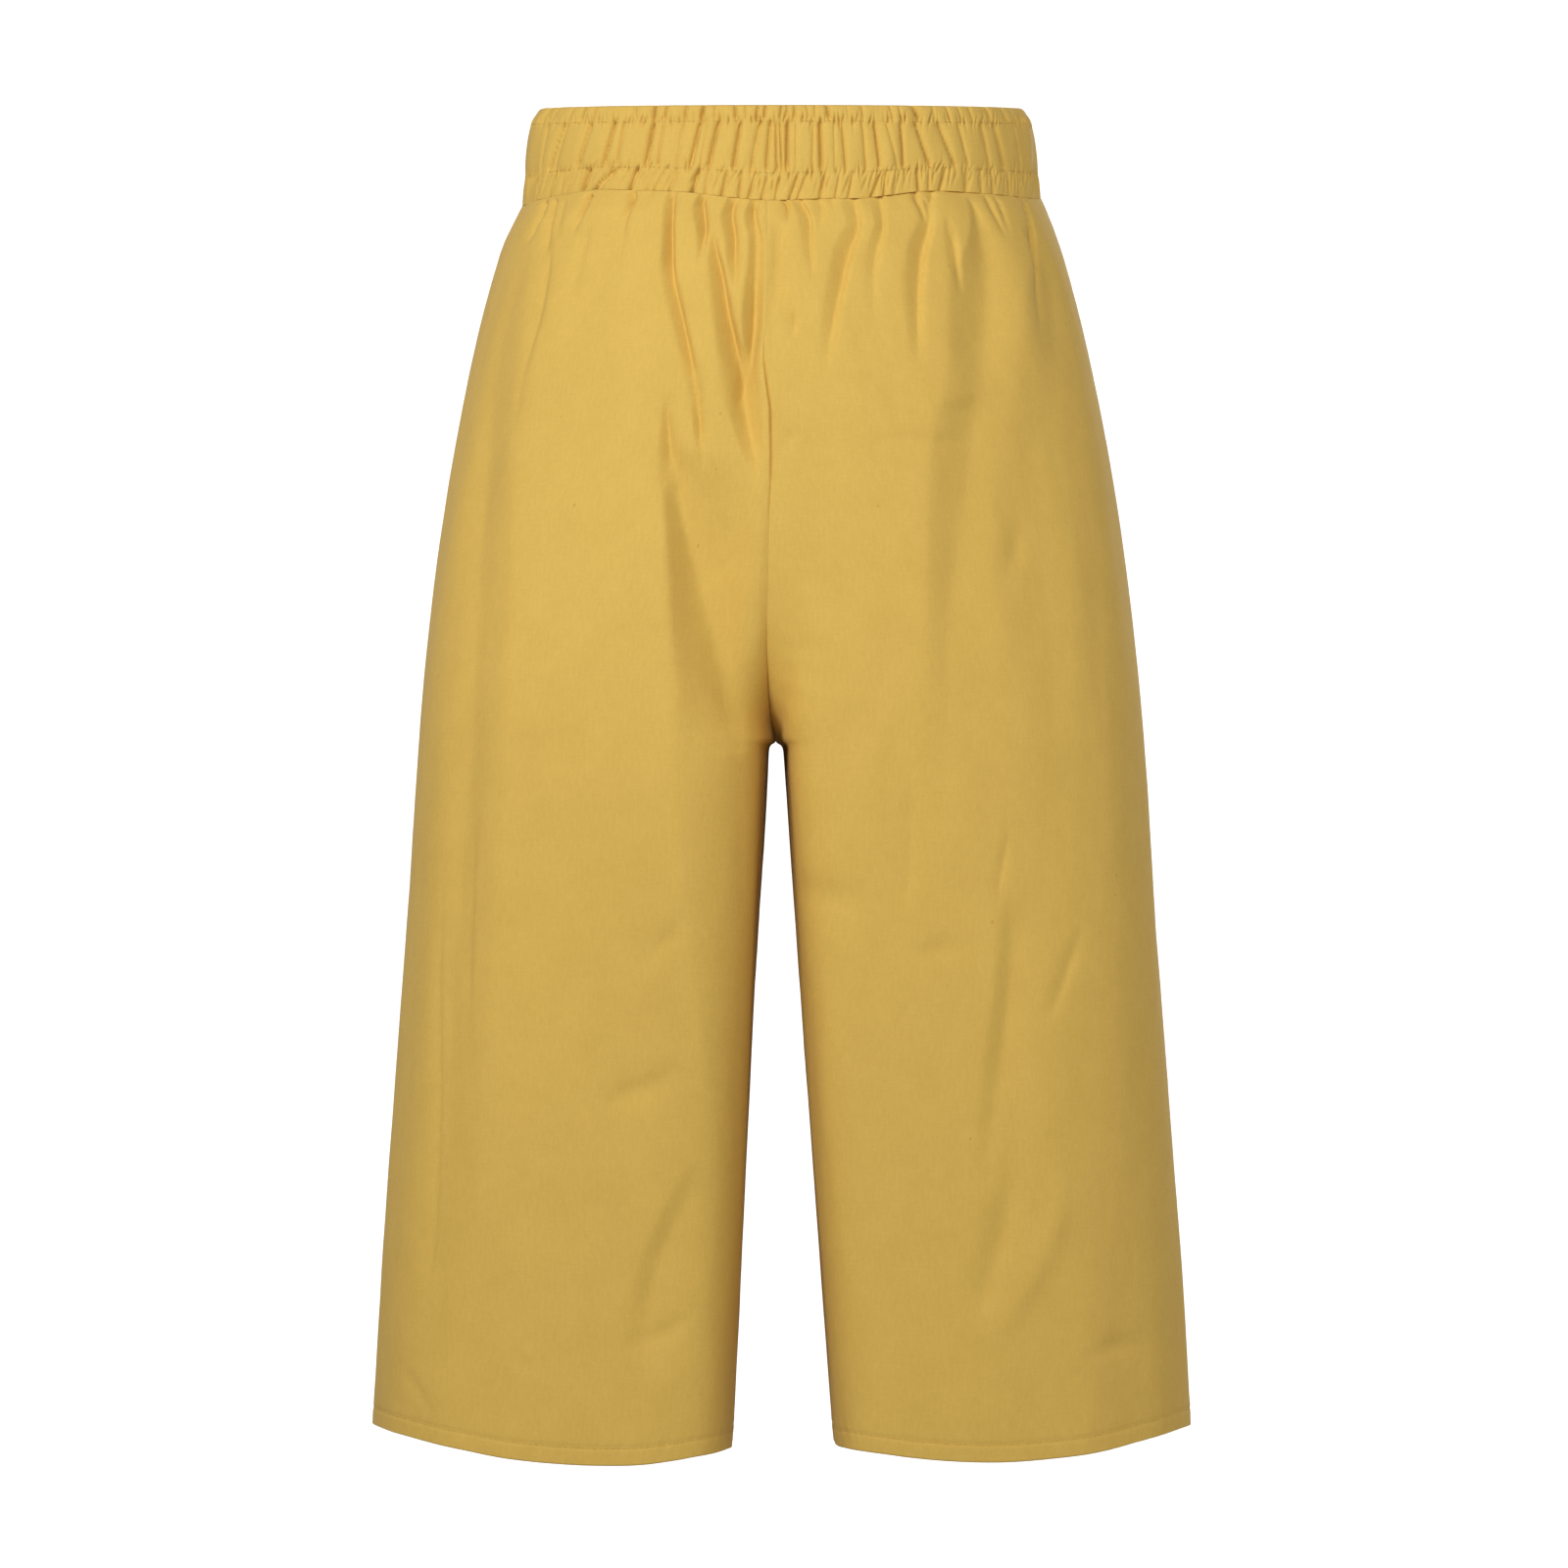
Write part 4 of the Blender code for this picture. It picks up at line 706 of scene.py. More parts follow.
def turn_out(mesh):
    """Turns the faces round if they point in, going by the mesh's signed volume."""
    mesh.calc_loop_triangles()
    points = np.empty(3 * len(mesh.vertices))
    mesh.vertices.foreach_get("co", points)
    corners = np.empty(3 * len(mesh.loop_triangles), dtype=np.int32)
    mesh.loop_triangles.foreach_get("vertices", corners)
    a, b, c = points.reshape(-1, 3)[corners.reshape(-1, 3)].transpose(1, 0, 2)
    if np.einsum("ij,ij->", a, np.cross(b, c)) < 0:
        mesh.flip_normals()


# ---------------------------------------------------------------- folds of the panels
def panel_heights():
    """Heights of a panel's rows, from the waist seam to the hem."""
    heights = []
    for zone in table(ROWS, ROW_COLUMNS):
        count = max(2, round((zone["z_from"] - zone["z_to"]) / zone["step"]))
        heights.append(np.linspace(zone["z_from"], zone["z_to"], count, endpoint=False))
    return np.concatenate([*heights, [HEM_Z]])


def raised(x, y, z, share, leg, face):
    """How much higher than z the cloth really is there: the tilt, the hem and the waist seam."""
    drop = WAIST_SEAM_Z - z
    tilt = WAIST_TILT * smooth_step(z, WAIST_TILT_ENDS, WAIST_SEAM_Z)
    fade = 1.0 - smooth_step(drop, 0.0, WAIST_WANDER_FADES)
    return tilt * y + hem_rise(share, z, leg) + fade * wander(WAIST_WANDER[face], x)


def plain_rows(leg, face):
    """The panel before it is folded, as rows of evenly spaced points from inner edge to side seam."""
    rows = []
    for z in panel_heights():
        x, y = section(z, leg, face)
        distance = along(x, y)
        even = np.linspace(0.0, distance[-1], SECTION_POINTS)
        x, y = np.interp(even, distance, x), np.interp(even, distance, y)
        height = z + raised(x, y, z, even / distance[-1], leg, face)
        rows.append((x, y, np.full_like(x, z), height, -leg * (distance[-1] - even)))
    return dict(zip(("x", "y", "z", "height", "across"), np.array(rows).transpose(1, 0, 2)))


def place_on_panel(plain, x, height):
    """How far across the panel the points lie that show at these x and heights."""
    across, heights = [], []
    for row_x, row_across, row_height in zip(plain["x"], plain["across"], plain["height"]):
        order = np.argsort(row_x)
        seen = np.clip(x, row_x.min(), row_x.max())
        across.append(np.interp(seen, row_x[order], row_across[order]) + x - seen)
        heights.append(np.interp(seen, row_x[order], row_height[order]))
    across, heights = np.array(across), np.array(heights)
    return np.array([np.interp(-h, -heights[:, k], across[:, k]) for k, h in enumerate(height)])


def front_stations(power, stations):
    """A front fold's stations in millimetres: x, z, the widths to its sides and the depth."""
    wider, deeper = 1.0, 1.0
    if power > CRISP_POWER:
        deeper = SOFT_DEEPER
    elif power > 0:
        wider = CRISP_WIDER[-1 if stations[0][0] < PICTURE_MIDDLE else 1]
        deeper = CRISP_DEEPER
    found = []
    for station in table(stations, FRONT_STATION_COLUMNS):
        x = (station["px_right"] - PICTURE_MIDDLE) * FRONT_PX
        z = PICTURE_LEVEL_Z + (PICTURE_LEVEL - station["px_down"]) * FRONT_PX
        left, depth = station["left"] * wider, station["depth"] * deeper
        found.append((round(x, 1), round(z, 1), round(left, 1), station["right"], round(depth, 1)))
    return found


def back_stations(stations):
    """A back fold's stations in millimetres."""
    found = []
    for station in table(stations, BACK_STATION_COLUMNS):
        station["depth"] = round(station["depth"] * BACK_DEEPER, 1)
        found.append(tuple(station.values()))
    return found


def face_folds(face):
    """The power and the stations of each fold of a face."""
    if face == "front":
        return [(power, front_stations(power, stations)) for power, stations in FRONT_FOLDS]
    return [(power, back_stations(stations)) for power, stations in BACK_FOLDS]


def fold_lines(plain, leg, face):
    """The folds that reach this panel, each as a smooth line on the cloth with widths and depth."""
    lines = []
    for power, stations in face_folds(face):
        x, height, left, right, depth = np.array(stations, float).T * MM
        if np.all(leg * x < -OTHER_LEG):
            continue
        across = place_on_panel(plain, x, height)
        run = along(across, height)
        fine = np.linspace(0.0, run[-1], FOLD_SAMPLES)
        lines.append({
            "power": power,
            "across": smooth_curve(fine, run, across),
            "height": smooth_curve(fine, run, height),
            "left": np.interp(fine, run, left),
            "right": np.interp(fine, run, right),
            "depth": np.interp(fine, run, depth),
        })
    return lines


def spread(share, length, full_length):
    """Distances from the side seam of columns that would be at these shares of a full row."""
    short = max(full_length - length, 0.0)
    crowding = min(SHORT_ROWS_CROWDING, SHORT_ROWS_ORDER * full_length / max(short, 1e-6))
    return full_length * share - short * share**crowding


def column_shares(length, full_length, height, leg, lines):
    """Where a row's columns are, closer together at seams and folds."""
    share = np.linspace(0.0, 1.0, COLUMN_SAMPLES)
    places = spread(share, length, full_length)
    density = np.ones(COLUMN_SAMPLES)
    for edge, end in (("inner", length), ("side", 0.0)):
        more, width = EDGE_CROWDING[edge]
        density += more * np.exp(-np.abs(places - end) / width)
    for line in lines:
        rising = line["height"][::-1]
        top = math.inf if line["depth"][0] > 0 else rising[-1]
        if rising[0] <= height <= top and np.all(np.diff(rising) > 0):
            at, left, right, depth = (np.interp(height, rising, line[name][::-1])
                                      for name in ("across", "left", "right", "depth"))
            width = min(left, right)
            full = FOLD_CROWDING_FULL * FOLD_CROWDING_LIMIT
            crisp = 1.0 - smooth_step(width, full, FOLD_CROWDING_LIMIT)
            t = (places + leg * at) / (FOLD_CROWDING_WIDTH * width)
            strength = crisp * min(1.0, abs(depth) / FOLD_CROWDING_DEPTH)
            density += FOLD_CROWDING * strength * np.exp(-t * t)
    total = np.concatenate([[0.0], np.cumsum((density[1:] + density[:-1]) / 2)])
    return np.interp(np.linspace(0.0, total[-1], PANEL_COLUMNS), total, share)


def column_places(plain, leg, lines):
    """Distances of every row's columns from the side seam, turning gently from row to row."""
    lengths = np.abs(plain["across"][:, 0])
    z = plain["z"][:, 0]
    full = np.maximum(lengths[np.searchsorted(-z, -CROTCH_Z)], lengths)
    heights = plain["height"].mean(axis=1)
    shares = np.array([column_shares(*row, leg, lines) for row in zip(lengths, full, heights)])
    weights = np.exp(-(((z[:, None] - z) / COLUMN_BLEND) ** 2)) * np.abs(np.gradient(z))
    shares = weights @ shares / weights.sum(axis=1, keepdims=True)
    return [spread(*row) for row in zip(shares, lengths, full)]


def bare_panel(leg, face):
    """A panel before it is folded, on its final grid, and the folds' lines."""
    plain = plain_rows(leg, face)
    lines = fold_lines(plain, leg, face)
    turn = 1.0 if (leg > 0) == (face == "front") else -1.0
    from_side = column_places(plain, leg, lines)
    rows = []
    for x, y, z, across, places in zip(*(plain[n] for n in ("x", "y", "z", "across")), from_side):
        length = abs(across[0])
        distance = length - np.abs(across)
        places = length - places[::-1]
        places[0] = SEAM_GAP / 2 if z[0] <= CROTCH_Z else 0.0
        places[-1] = length - SEAM_GAP / 2
        out_x = np.interp(places, distance, turn * np.gradient(y, distance))
        out_y = np.interp(places, distance, -turn * np.gradient(x, distance))
        size = np.hypot(out_x, out_y)
        rows.append([
            np.interp(places, distance, x), np.interp(places, distance, y),
            np.full_like(places, z[0]), out_x / size, out_y / size,
            places - places[0], places[-1] - places,
        ])
    names = ("x", "y", "z", "out_x", "out_y", "from_inner", "from_side")
    return dict(zip(names, np.array(rows).transpose(1, 0, 2))), lines


def fold_push(line, across, height):
    """How far one fold pushes points of the cloth in."""
    a, h = line["across"], line["height"]
    step_a, step_h = np.diff(a), np.diff(h)
    off_a = across[:, None] - a[:-1]
    off_h = height[:, None] - h[:-1]
    share = np.clip((off_a * step_a + off_h * step_h) / (step_a**2 + step_h**2), 0.0, 1.0)
    off_a -= share * step_a
    off_h -= share * step_h
    square = off_a**2 + off_h**2
    nearest = np.argmin(square, axis=1)
    row = np.arange(len(nearest))
    side = step_a[nearest] * off_h[row, nearest] - step_h[nearest] * off_a[row, nearest]
    place = nearest + share[row, nearest]
    stations = np.arange(FOLD_SAMPLES)
    right = np.interp(place, stations, line["right"])
    left = np.interp(place, stations, line["left"])
    t = np.sqrt(square[row, nearest]) / np.where(side > 0, right, left)
    depth = np.interp(place, stations, line["depth"])
    if line["power"] > 0:
        return depth * np.exp(-(t ** line["power"]))
    foot = np.minimum(WALL_FOOT[0], np.where(side > 0, right, left) / WALL_FOOT[1])
    foot = np.where(depth < 0, WALL_EDGE, foot)
    fallen = (np.sqrt(t * t + foot**2) - foot) / (np.sqrt(1.0 + foot**2) - foot)
    wall = 1.0 - fallen + np.sqrt((1.0 - fallen) ** 2 + WALL_EDGE**2)
    wall /= 1.0 + math.sqrt(1.0 + WALL_EDGE**2)
    falls = side < 0 if line["power"] == 0 else side > 0
    return depth * np.where(falls, wall, np.exp(-(t**WALL_RETURN)))


def folds(bare, height, leg, lines):
    """How far all folds push the cloth in."""
    pushed = np.zeros_like(height)
    across = -leg * bare["from_side"]
    to_edge = np.minimum(bare["from_inner"], bare["from_side"])
    for line in lines:
        width = max(line["left"].max(), line["right"].max())
        reach = FOLD_REACH * width
        near = (across > line["across"].min() - reach) & (across < line["across"].max() + reach)
        near &= (height > line["height"].min() - reach) & (height < line["height"].max() + reach)
        if not near.any():
            continue
        fade = smooth_step(to_edge[near], 0.0, EDGE_FADE[0] + EDGE_FADE[1] * width)
        pushed[near] += fade * fold_push(line, across[near], height[near])
    return pushed


def waves(u, v):
    """Soft unevenness of the cloth at points u across and v down."""
    pushed = np.zeros_like(u)
    for wave in table(WAVES, WAVE_COLUMNS):
        total = np.zeros_like(u)
        for _ in range(wave["count"]):
            across = 2 * math.pi / rng.uniform(*wave["width"]) * rng.choice([-1, 1])
            down = 2 * math.pi / rng.uniform(*wave["height"])
            total += np.sin(across * u + down * v + rng.uniform(0, 2 * math.pi))
        pushed += wave["reach"] * total / math.sqrt(wave["count"] / 2)
    return pushed


def ripple(v, pitch):
    """An uneven ripple along v, from -1 to 1."""
    phase = rng.uniform(0, 2 * math.pi, 3)
    turns = 2 * math.pi * v / pitch
    sway, sway_speed = RIPPLE_SWAY
    second, second_speed = RIPPLE_SECOND
    first = np.sin(turns + phase[0] + sway * np.sin(turns * sway_speed + phase[1]))
    return (first + second * np.sin(turns * second_speed + phase[2])) / (1.0 + second)


def seams(bare, height, face):
    """The grooves and puckers along a panel's centre, inner and side seams."""
    pushed = np.zeros_like(bare["x"])
    above = smooth_step(bare["z"], CROTCH_Z - SEAM_CHANGE, CROTCH_Z)
    centre = above * wander(SEAM_SINKS[face], height) + (1.0 - above) * SEAM_SINK
    for edge, depth in (("from_inner", centre), ("from_side", SEAM_SINK)):
        near = bare[edge]
        pushed += depth * np.exp(-((near / SEAM_SINK_WIDTH) ** SEAM_SINK_POWER))
        ripples = ripple(bare["z"], SEAM_PUCKER_PITCH)
        pushed += SEAM_PUCKER * ripples * np.exp(-near / SEAM_PUCKER_WIDTH) * (near > 0)
    return pushed


def hem(bare):
    """The stitched line of the hem, its puckers and the rounding of its folded edge."""
    above = bare["z"] - HEM_Z
    across = bare["from_inner"]
    line = np.exp(-(((above - HEM_TURN) / HEM_GROOVE_WIDTH) ** 2))
    puckers = HEM_PUCKER * ripple(across + HEM_PUCKER_LEAN * above, HEM_PUCKER_PITCH)
    zone = np.exp(-(((above - HEM_TURN) / (HEM_PUCKER_REACH * HEM_TURN)) ** 2))
    return HEM_GROOVE * line + puckers * zone


def held_at_waist(push, bare):
    """The gathers come out shallow at the waist seam."""
    deepest, drop = WAIST_HOLD
    room = (WAIST_SEAM_Z - bare["z"]) / drop
    limit = deepest / np.maximum(1.0 - room, WAIST_HOLD_STARTS) ** 2
    return np.where(room < 1.0, limit * np.tanh(push / limit), push)


def waist_edge(bare):
    """The panel's top edge turns in under the waistband, more in some places than in others."""
    drop = WAIST_SEAM_Z - bare["z"]
    least, most = WAIST_TURN
    turn = least + (most - least) * (0.5 + 0.5 * ripple(bare["from_side"], WAIST_TURN_PITCH))
    return turn * np.exp(-((drop / WAIST_TURN_HEIGHT) ** 2))


def deepest_beside(push):
    """The deepest push within one inside column, so that the coarser inside stays behind it."""
    padded = np.pad(push, ((0, 0), (INSIDE_STEP - 1, INSIDE_STEP - 1)), mode="edge")
    width = push.shape[1]
    return np.max([padded[:, k:k + width] for k in range(2 * INSIDE_STEP - 1)], axis=0)


def cloth_place(bare, leg):
    """Where each point is on the flat cloth, with the threads running down the leg."""
    half_width, depth = form("half_width", bare["z"]), form("front", bare["z"])
    quarter = math.pi / 2 * np.sqrt((half_width**2 + depth**2) / 2)
    return np.stack([leg * bare["from_side"] * THREAD_WIDTH / quarter, bare["z"]], axis=-1)


def make_panel(leg, face, material):
    """A leg panel: a thin shell of cloth, with a turned-up hem."""
    side = "left" if leg > 0 else "right"
    bare, lines = bare_panel(leg, face)
    share = bare["from_inner"] / (bare["from_inner"] + bare["from_side"])
    rows = zip(bare["x"], bare["y"], bare["z"], share)
    height = np.array([z + raised(x, y, z, s, leg, face) for x, y, z, s in rows])
    to_edge = np.minimum(bare["from_inner"], bare["from_side"])
    push = waves(bare["from_side"], bare["z"]) * smooth_step(to_edge, 0.0, WAVES_FADE)
    push += held_at_waist(folds(bare, height, leg, lines), bare)
    push += seams(bare, height, face) + hem(bare) + waist_edge(bare)
    above = bare["z"] - HEM_Z
    hemmed = 1.0 - smooth_step(above, HEM_TURN - HEM_STEP[0], HEM_TURN + HEM_STEP[1])
    wall = CLOTH_WALL + (HEM_WALL - CLOTH_WALL) * hemmed
    radius = HEM_WALL / 2 - HEM_FOLD_FLAT
    short = np.clip(radius - above, 0.0, radius)
    inset = radius - np.sqrt(radius**2 - short**2)
    held = np.where(bare["z"] > CROTCH_Z, smooth_step(bare["from_inner"], 0.0, SEAM_HOLD), 1.0)
    loops = []
    for inward in (push + inset, deepest_beside(push) + wall - inset):
        x = bare["x"] - inward * bare["out_x"] * held
        y = bare["y"] - inward * bare["out_y"]
        tilt = WAIST_TILT * smooth_step(bare["z"], WAIST_TILT_ENDS, WAIST_SEAM_Z)
        loops.append(np.stack([x, y, height + tilt * (y - bare["y"])], axis=-1))
    points = np.concatenate([loops[0], loops[1][:, ::-INSIDE_STEP]], axis=1)
    uv = cloth_place(bare, leg)
    uvs = np.concatenate([uv, uv[:, ::-INSIDE_STEP]], axis=1)
    piece = grid_mesh(f"{face}_cloth_{side}", points, uvs, material, outside=PANEL_COLUMNS)
    turn_out(piece.data)
    return piece, loops[0], bare


# ---------------------------------------------------------------- waistband
def band_size(name, below_top):
    """A size of the plain cone that the waistband lies on."""
    share = below_top / BAND_HEIGHT
    return BAND_TOP[name] + (BAND_FOOT[name] - BAND_TOP[name]) * share


def band_outline(below_top):
    """The plain ring of the waistband, anticlockwise from the wearer's left: x, y and distance."""
    angle = np.linspace(0.0, 2 * math.pi, BAND_OUTLINE_SAMPLES)
    depth = np.where(np.sin(angle) < 0, band_size("front", below_top), band_size("back", below_top))
    x, y = band_size("half_width", below_top) * np.cos(angle), depth * np.sin(angle)
    return x, y, along(x, y)


def band_shares(x, below_top):
    """How far round the ring, as a share of it, the front shows these x."""
    ring_x, ring_y, distance = band_outline(below_top)
    front = ring_y <= 0
    front[0] = False
    return np.interp(x, ring_x[front], distance[front]) / distance[-1]


def band_folds():
    """The casing's folds: zone, places round the ring at the zone's ends, half width and depth."""
    found = []
    middle = BAND_HEIGHT / 2
    length = band_outline(middle)[2][-1]
    for zone in table(BAND_ZONES, BAND_ZONE_COLUMNS):
        for fold in table(BAND_FOLDS[zone["name"]], BAND_FOLD_COLUMNS):
            ends = [round((fold[end] - PICTURE_MIDDLE) * BAND_PX, 1) for end in ("px_top", "px_foot")]
            top, foot = band_shares(np.array(ends) * MM, middle)
            deeper = next(times for up_to, times in BAND_DEEPER if fold["px_top"] < up_to)
            depth = round(fold["depth"] * deeper, 1)
            found.append((zone, top, foot, fold["half_width"] * MM, depth * MM))
        count = BAND_BACK_FOLDS[zone["name"]]
        for number in range(count):
            uneven = BAND_BACK_UNEVEN * (2.0 * ((number * GOLDEN) % 1.0) - 1.0)
            place = 0.5 * (number + 0.5 + uneven) / count
            lean = BAND_BACK_LEAN * rng.uniform(-1, 1) / length
            half = rng.uniform(*BAND_BACK_HALF_WIDTH)
            found.append((zone, place - lean, place + lean, half, rng.uniform(*BAND_BACK_DEPTH)))
    return found


def band_puckers():
    """Short slanted puckers at the rows of stitching: place, height, reach, lean and depth."""
    found = []
    for row in table(BAND_PUCKERS, BAND_PUCKER_COLUMNS):
        for number in range(row["count"]):
            uneven = BAND_PUCKER_UNEVEN * (((number * GOLDEN) % 1.0) - 0.5)
            place = (number + 0.5 + uneven) / row["count"]
            height = row["below_top"] + BAND_PUCKER_SCATTER * rng.uniform(-1, 1)
            reach = row["height"] * rng.uniform(*BAND_PUCKER_HEIGHTS)
            lean = rng.uniform(*row["lean"])
            found.append((place, height, reach, lean, rng.uniform(*row["depth"])))
    return found


def zone_strength(zone, below_top):
    """1 within a zone of the casing, fading at its ends."""
    fade = zone["fade"]
    beyond = BAND_ZONE_REACH * fade
    start = smooth_step(below_top, zone["from"] - beyond, zone["from"] + fade)
    return start * (1.0 - smooth_step(below_top, zone["to"] - fade, zone["to"] + beyond))


def band_push(share, below_top, found, puckers):
    """How far the folds push the casing in, at shares of the way round and below the top."""
    length = band_outline(below_top)[2][-1]
    pushed = waves_round(share, below_top)
    for zone, top, foot, half, depth in found:
        strength = zone_strength(zone, below_top)
        if strength > 0.0:
            down = (below_top - zone["from"]) / (zone["to"] - zone["from"])
            away = ((share - top - (foot - top) * down + 0.5) % 1.0 - 0.5) * length
            t = np.abs(away) / (half * np.where(away < 0, *BAND_FOLD_SIDES))
            near = t < BAND_FOLD_ENDS
            crease = BAND_CREASE[0] * np.exp(-(t[near] ** BAND_CREASE[1]))
            trough = BAND_TROUGH[0] * np.exp(-((t[near] / BAND_TROUGH[1]) ** 2))
            pushed[near] += strength * depth * (crease + trough)
    for place, row, height, lean, depth in puckers:
        off = below_top - row
        strength = math.exp(-((off / height) ** 2))
        if strength > BAND_PUCKER_LEAST:
            away = ((share - place + 0.5) % 1.0 - 0.5) * length - lean * off
            t = np.abs(away) / (BAND_PUCKER_HALF_WIDTH * np.where(away < 0, *BAND_FOLD_SIDES))
            near = t < BAND_PUCKER_ENDS
            pushed[near] += strength * depth * np.exp(-(t[near] ** BAND_PUCKER_POWER))
    return pushed


def waves_round(share, below_top):
    """Soft unevenness round the casing."""
    turns = 2 * math.pi * share
    pushed = np.zeros_like(share)
    for k in range(BAND_WAVES):
        cycles = BAND_WAVES_ROUND[0] + BAND_WAVES_ROUND[1] * k
        shift = BAND_WAVE_SHIFT[0] * k + BAND_WAVE_SHIFT[1] * below_top
        pushed += BAND_WAVE_DEPTH * np.sin(cycles * turns + shift)
    return pushed


def band_columns():
    """Shares of the way round of the rings' columns, closer together in front."""
    share = np.linspace(0.0, 1.0, BAND_SAMPLES)
    to_front = -np.sin(2 * math.pi * share)
    density = 1.0 + BAND_FRONT_CROWDING * smooth_step(to_front, -BAND_FRONT_EDGE, BAND_FRONT_EDGE)
    total = np.concatenate([[0.0], np.cumsum((density[1:] + density[:-1]) / 2)])
    even = np.linspace(0.0, total[-1], BAND_RING_COLUMNS, endpoint=False)
    return np.interp(even, total, share)


def band_point(share, below_top, inward):
    """Points of the waistband at shares of the way round, pushed in from the plain cone."""
    x, y, distance = band_outline(below_top)
    place = np.asarray(share) % 1.0 * distance[-1]
    out_x, out_y = np.gradient(y, distance), -np.gradient(x, distance)
    ring_x, ring_y = np.interp(place, distance, x), np.interp(place, distance, y)
    lean = BAND_CORNER_LEAN * (1.0 - smooth_step(below_top, 0.0, BAND_LEAN_ENDS))
    to_side = np.abs(ring_x / band_size("half_width", below_top))
    out = -inward - lean * to_side**BAND_LEAN_POWER
    down = smooth_step(below_top / BAND_HEIGHT, BAND_WANDER_STARTS, 1.0)
    front, back = (wander(WAIST_WANDER[face], ring_x) for face in ("front", "back"))
    wandered = down * np.where(ring_y < 0, front, back)
    ring_x = ring_x + out * np.interp(place, distance, out_x)
    ring_y = ring_y + out * np.interp(place, distance, out_y)
    height = BAND_HEIGHT / 2 - below_top + WAIST_TILT * ring_y + wandered
    return np.stack([ring_x, ring_y, height], axis=-1)


def band_stands_out(below_top):
    """How far the casing's outside stands out from the plain cone."""
    return smooth_curve(below_top, *zip(*BAND))


def band_rounding(below_top):
    """How far the rounded top edge is in from the casing's sides."""
    radius = BAND_WALL / 2
    short = max(radius - below_top, 0.0)
    return radius - math.sqrt(max(radius**2 - short**2, 0.0))


def make_waistband(material, found, puckers):
    """The gathered casing: rings down its outside, then up its inside."""
    round_it = band_outline(BAND_HEIGHT / 2)[2][-1]
    radius = BAND_WALL / 2
    downs = [radius * (1 - np.cos(np.linspace(0, math.pi / 2, BAND_EDGE_RINGS, endpoint=False)))]
    start = radius
    for end, count in BAND_RINGS:
        downs.append(np.linspace(start, end, count, endpoint=False))
        start = end
    downs = np.concatenate([*downs, BAND_LAST_RINGS])
    share = band_columns()
    along_cloth = share * round_it * BAND_FULLNESS
    rings, uvs = [], []
    for below_top in downs:
        rounding = band_rounding(below_top)
        push = band_push(share, below_top, found, puckers)
        rings.append(band_point(share, below_top, push - band_stands_out(below_top) + rounding))
        uvs.append(np.stack([along_cloth, np.full_like(share, -below_top)], axis=-1))
    for below_top in downs[::-1][::BAND_INSIDE_STEP]:
        rounding = band_rounding(below_top)
        push = BAND_INSIDE_GATHER * band_push(share, below_top, found, puckers)
        rings.append(band_point(share, below_top, BAND_WALL + push - rounding))
        uvs.append(np.stack([along_cloth, np.full_like(share, below_top)], axis=-1))
    piece = grid_mesh("waistband_cloth", np.array(rings), np.array(uvs), material)
    turn_out(piece.data)
    return piece


# ---------------------------------------------------------------- materials
def add_node(tree, kind, **settings):
    """A shader node with its settings."""
    node = tree.nodes.new(kind)
    for name, value in settings.items():
        setattr(node, name, value)
    return node


def math_node(tree, operation, first, second=0.5):
    """A Math node fed by sockets or numbers."""
    node = add_node(tree, "ShaderNodeMath", operation=operation)
    for socket, value in zip(node.inputs, (first, second)):
        if isinstance(value, (int, float)):
            socket.default_value = value
        else:
            tree.links.new(value, socket)
    return node.outputs[0]


def plain_material(name, finish):
    """A material whose shader has these settings."""
    material = bpy.data.materials.new(name)
    material.use_nodes = True
    shader = material.node_tree.nodes["Principled BSDF"]
    for socket, value in finish.items():
        shader.inputs[socket].default_value = value
    return material, material.node_tree, shader


def colour_by(tree, shader, tone, ends, dark, light):
    """Colours the shader from dark to light as a tone goes from one end to the other."""
    ramp = add_node(tree, "ShaderNodeValToRGB")
    for element, position, colour in zip(ramp.color_ramp.elements, ends, (dark, light)):
        element.position = position
        element.color = (*colour, 1.0)
    tree.links.new(tone, ramp.inputs["Fac"])
    tree.links.new(ramp.outputs["Color"], shader.inputs["Base Color"])


def bump_by(tree, shader, height, strength, distance):
    """Gives the shader a relief of this distance."""
    bump = add_node(tree, "ShaderNodeBump")
    bump.inputs["Strength"].default_value = strength
    bump.inputs["Distance"].default_value = distance
    tree.links.new(height, bump.inputs["Height"])
    tree.links.new(bump.outputs["Normal"], shader.inputs["Normal"])


